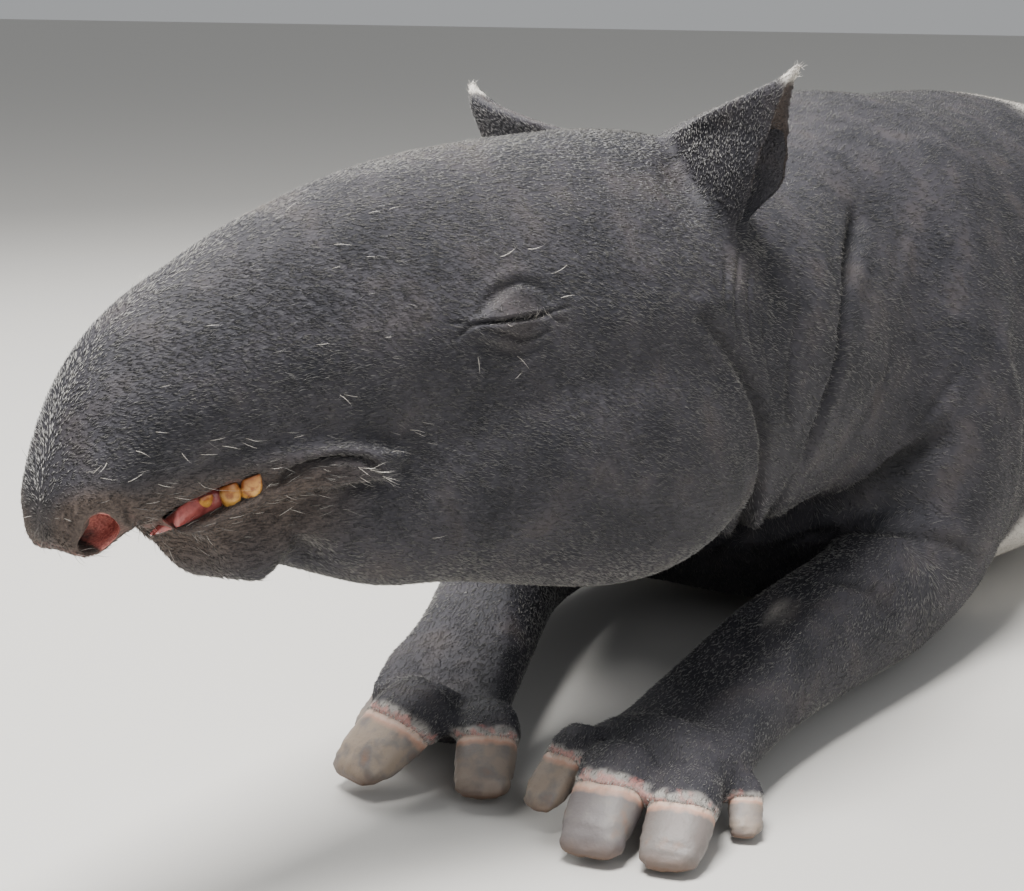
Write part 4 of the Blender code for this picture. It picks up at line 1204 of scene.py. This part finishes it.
def rooted(spot):
    """The nearest point of the hide to a spot, and the hide's outward direction there."""
    near, normal, _, _ = hide_tree.find_nearest(Vector(spot))
    return np.array(near), np.array(normal)


random = np.random.default_rng(23)
rows = []
for (a0, d0), (a1, d1), bend in STRAY_HAIRS:
    start, end = seen(a0, d0, hide_tree), seen(a1, d1, hide_tree)
    root, outward = rooted(start)
    way = np.array(end - start) + outward * 0.004
    long = np.linalg.norm(way)
    sideways = unit(np.cross(way, back))
    rows.append((root, way / long, sideways, min(long, 0.030), 0.0006, bend * 0.12, 1.0))
lash_path = path_on_hide(LASH_LINE, hide_tree)
for _ in range(LASHES):
    spot = lash_path[int(random.integers(len(lash_path)))] + Vector(random.normal(0, 0.0012, 3))
    root, outward = rooted(spot)
    way = unit(np.array(-right * 0.25 - Vector((0, 0, 0.55))) + outward + random.normal(0, 0.2, 3))
    long, whiteness = random.uniform(0.005, 0.009), random.uniform(0.6, 1)
    rows.append((root, way, np.array((0, 0, 1.0)), long, HAIR_THICK, 0.5, whiteness))
for across, down in CORNER_HAIRS * 2:
    root, outward = rooted(seen(across, down, hide_tree))
    way = unit(np.array(right - Vector((0, 0, 0.3))) * 0.9 + outward * 0.5 + random.normal(0, 0.25, 3))
    rows.append((root, way, outward, random.uniform(0.008, 0.015), HAIR_THICK, 0.1, 0.9))
# Whiskers, thin over the lips, the chin and the snout
points, normals = points_of(hide.data), normals_of(hide.data)
drawn = random.random(len(points)) < 0.006 * (1 + 3 * muzzle)
whiskered = np.flatnonzero((told[:, 0] > 0.06) & (on_head > 0) & (bare < 0.2) & drawn)
for index in whiskered[:MOST_WHISKERS]:
    way = unit(lie[index] * 0.9 + normals[index] * 0.7 + random.normal(0, 0.25, 3))
    long, whiteness = random.uniform(0.008, 0.016), random.choice([0.0, 0.25, 1.0])
    rows.append((points[index], way, normals[index], long, 0.00045, -0.3, whiteness))
# The far side's lashes, stray hairs and hairs at the corner of the mouth, mirrored from the near side's
near_side = len(STRAY_HAIRS) + LASHES + 2 * len(CORNER_HAIRS)
for root, way, outward, long, thick, bend, whiteness in rows[:near_side]:
    other, outward = rooted(far_side(root))
    way = np.array(head_turn @ Vector(np.array(head_turn.transposed() @ Vector(way)) * MIRROR))
    rows.append((other, way, outward, long, thick, bend, whiteness))
hairs("whiskers", rows)

# Fringe over the roots of the hooves, pale at the rim of the horn
rows = []
for name, (root_at, tip_at, half_width) in HOOVES.items():
    long, axis, side_way, up_way = toe_axes(root_at, tip_at)
    for _ in range(int(half_width * FRINGE_DENSITY)):
        turn = random.uniform(-0.25, np.pi + 0.25)
        outward = side_way * cos(turn) + up_way * sin(turn)
        over, above = squared(turn)
        rim = (side_way * over + up_way * above) * (half_width + 0.0004)
        ahead = long * (0.20 + CUFF_SLANT * sin(turn)) - random.uniform(0.001, 0.010)
        root = np.array(Vector(root_at) + axis * ahead + rim)
        if root[2] < LOWEST_SKIN:
            continue
        way = unit(np.array(axis * 0.96 + outward * 0.24 + Vector(random.normal(0, 0.14, 3))))
        hair_long, whiteness = random.uniform(0.003, 0.006), random.beta(1.2, 1.0)
        rows.append((root, way, np.array(outward), hair_long, HAIR_THICK, -0.25, whiteness))
hairs("hoof_fringe", rows)

# Rim of the ears, inside the cup and at the white tip
rows = []
for index in np.flatnonzero((on_ear > 0) & (random.random(len(points)) < 0.10)):
    at_tip = white[index] > 0.3
    if not at_tip and not 0.15 < inner_ear[index] < 0.95:
        continue
    way = unit(lie[index] * 0.9 + normals[index] * 0.5 + random.normal(0, 0.2, 3))
    long, whiteness = random.uniform(0.004, 0.008), 1.0 if at_tip else 0.1
    rows.append((points[index], way, normals[index], long, HAIR_THICK, -0.1, whiteness))
hairs("ear_fringe", rows)

# Brush at the end of the tail
rows = []
tail_end = points[:, 0].max()
for index in np.flatnonzero((points[:, 0] > tail_end - 0.016) & (random.random(len(points)) < 0.8)):
    way = unit(np.array((0.55, 0, -0.75)) + normals[index] * 0.35 + random.normal(0, 0.12, 3))
    long, whiteness = random.uniform(0.008, 0.016), float(random.random() < 0.35)
    rows.append((points[index], way, normals[index], long, 0.0007, -0.1, whiteness))
hairs("tail_brush", rows)


# Studio: a plain pale floor, a broad key light above the head, a weaker one from behind on the animal's right
# and a soft fill from ahead on its left, so that the folds are shaded and no shadow is hard.
FLOOR_HALF = 15
LIT_SPOT = Vector((-0.5, 0, 0.3))

floor_data = bpy.data.meshes.new("floor")
floor_mesh = bmesh.new()
bmesh.ops.create_grid(floor_mesh, x_segments=1, y_segments=1, size=FLOOR_HALF)
floor_mesh.to_mesh(floor_data)
floor_mesh.free()
floor = bpy.data.objects.new("floor", floor_data)
floor_material, tree, surface = material("studio_floor", 0.85, 0.2)
surface["Base Color"].default_value = colour("c8c6c2")
floor.data.materials.append(floor_material)
bpy.context.scene.collection.objects.link(floor)


def soft_light(name, at, size, power, warmth):
    """A square area light turned to the animal's shoulders."""
    data = bpy.data.lights.new(name, "AREA")
    data.size = size
    data.energy = power
    data.color = warmth
    lamp = bpy.data.objects.new(name, data)
    lamp.location = at
    lamp.rotation_euler = (LIT_SPOT - Vector(at)).to_track_quat("-Z", "Y").to_euler()
    bpy.context.scene.collection.objects.link(lamp)


soft_light("key", (-1.3, 0.1, 3.1), 1.2, 270, (1.0, 0.98, 0.95))
soft_light("rim", (0.9, 1.6, 2.2), 1.6, 70, (1.0, 0.99, 0.97))
soft_light("fill", (-2.8, -2.6, 1.8), 2.6, 38, (0.95, 0.97, 1.0))
studio = bpy.data.worlds.new("studio")
studio.use_nodes = True
studio.node_tree.nodes["Background"].inputs["Color"].default_value = colour("d2d4d6")
studio.node_tree.nodes["Background"].inputs["Strength"].default_value = 0.6
bpy.context.scene.world = studio
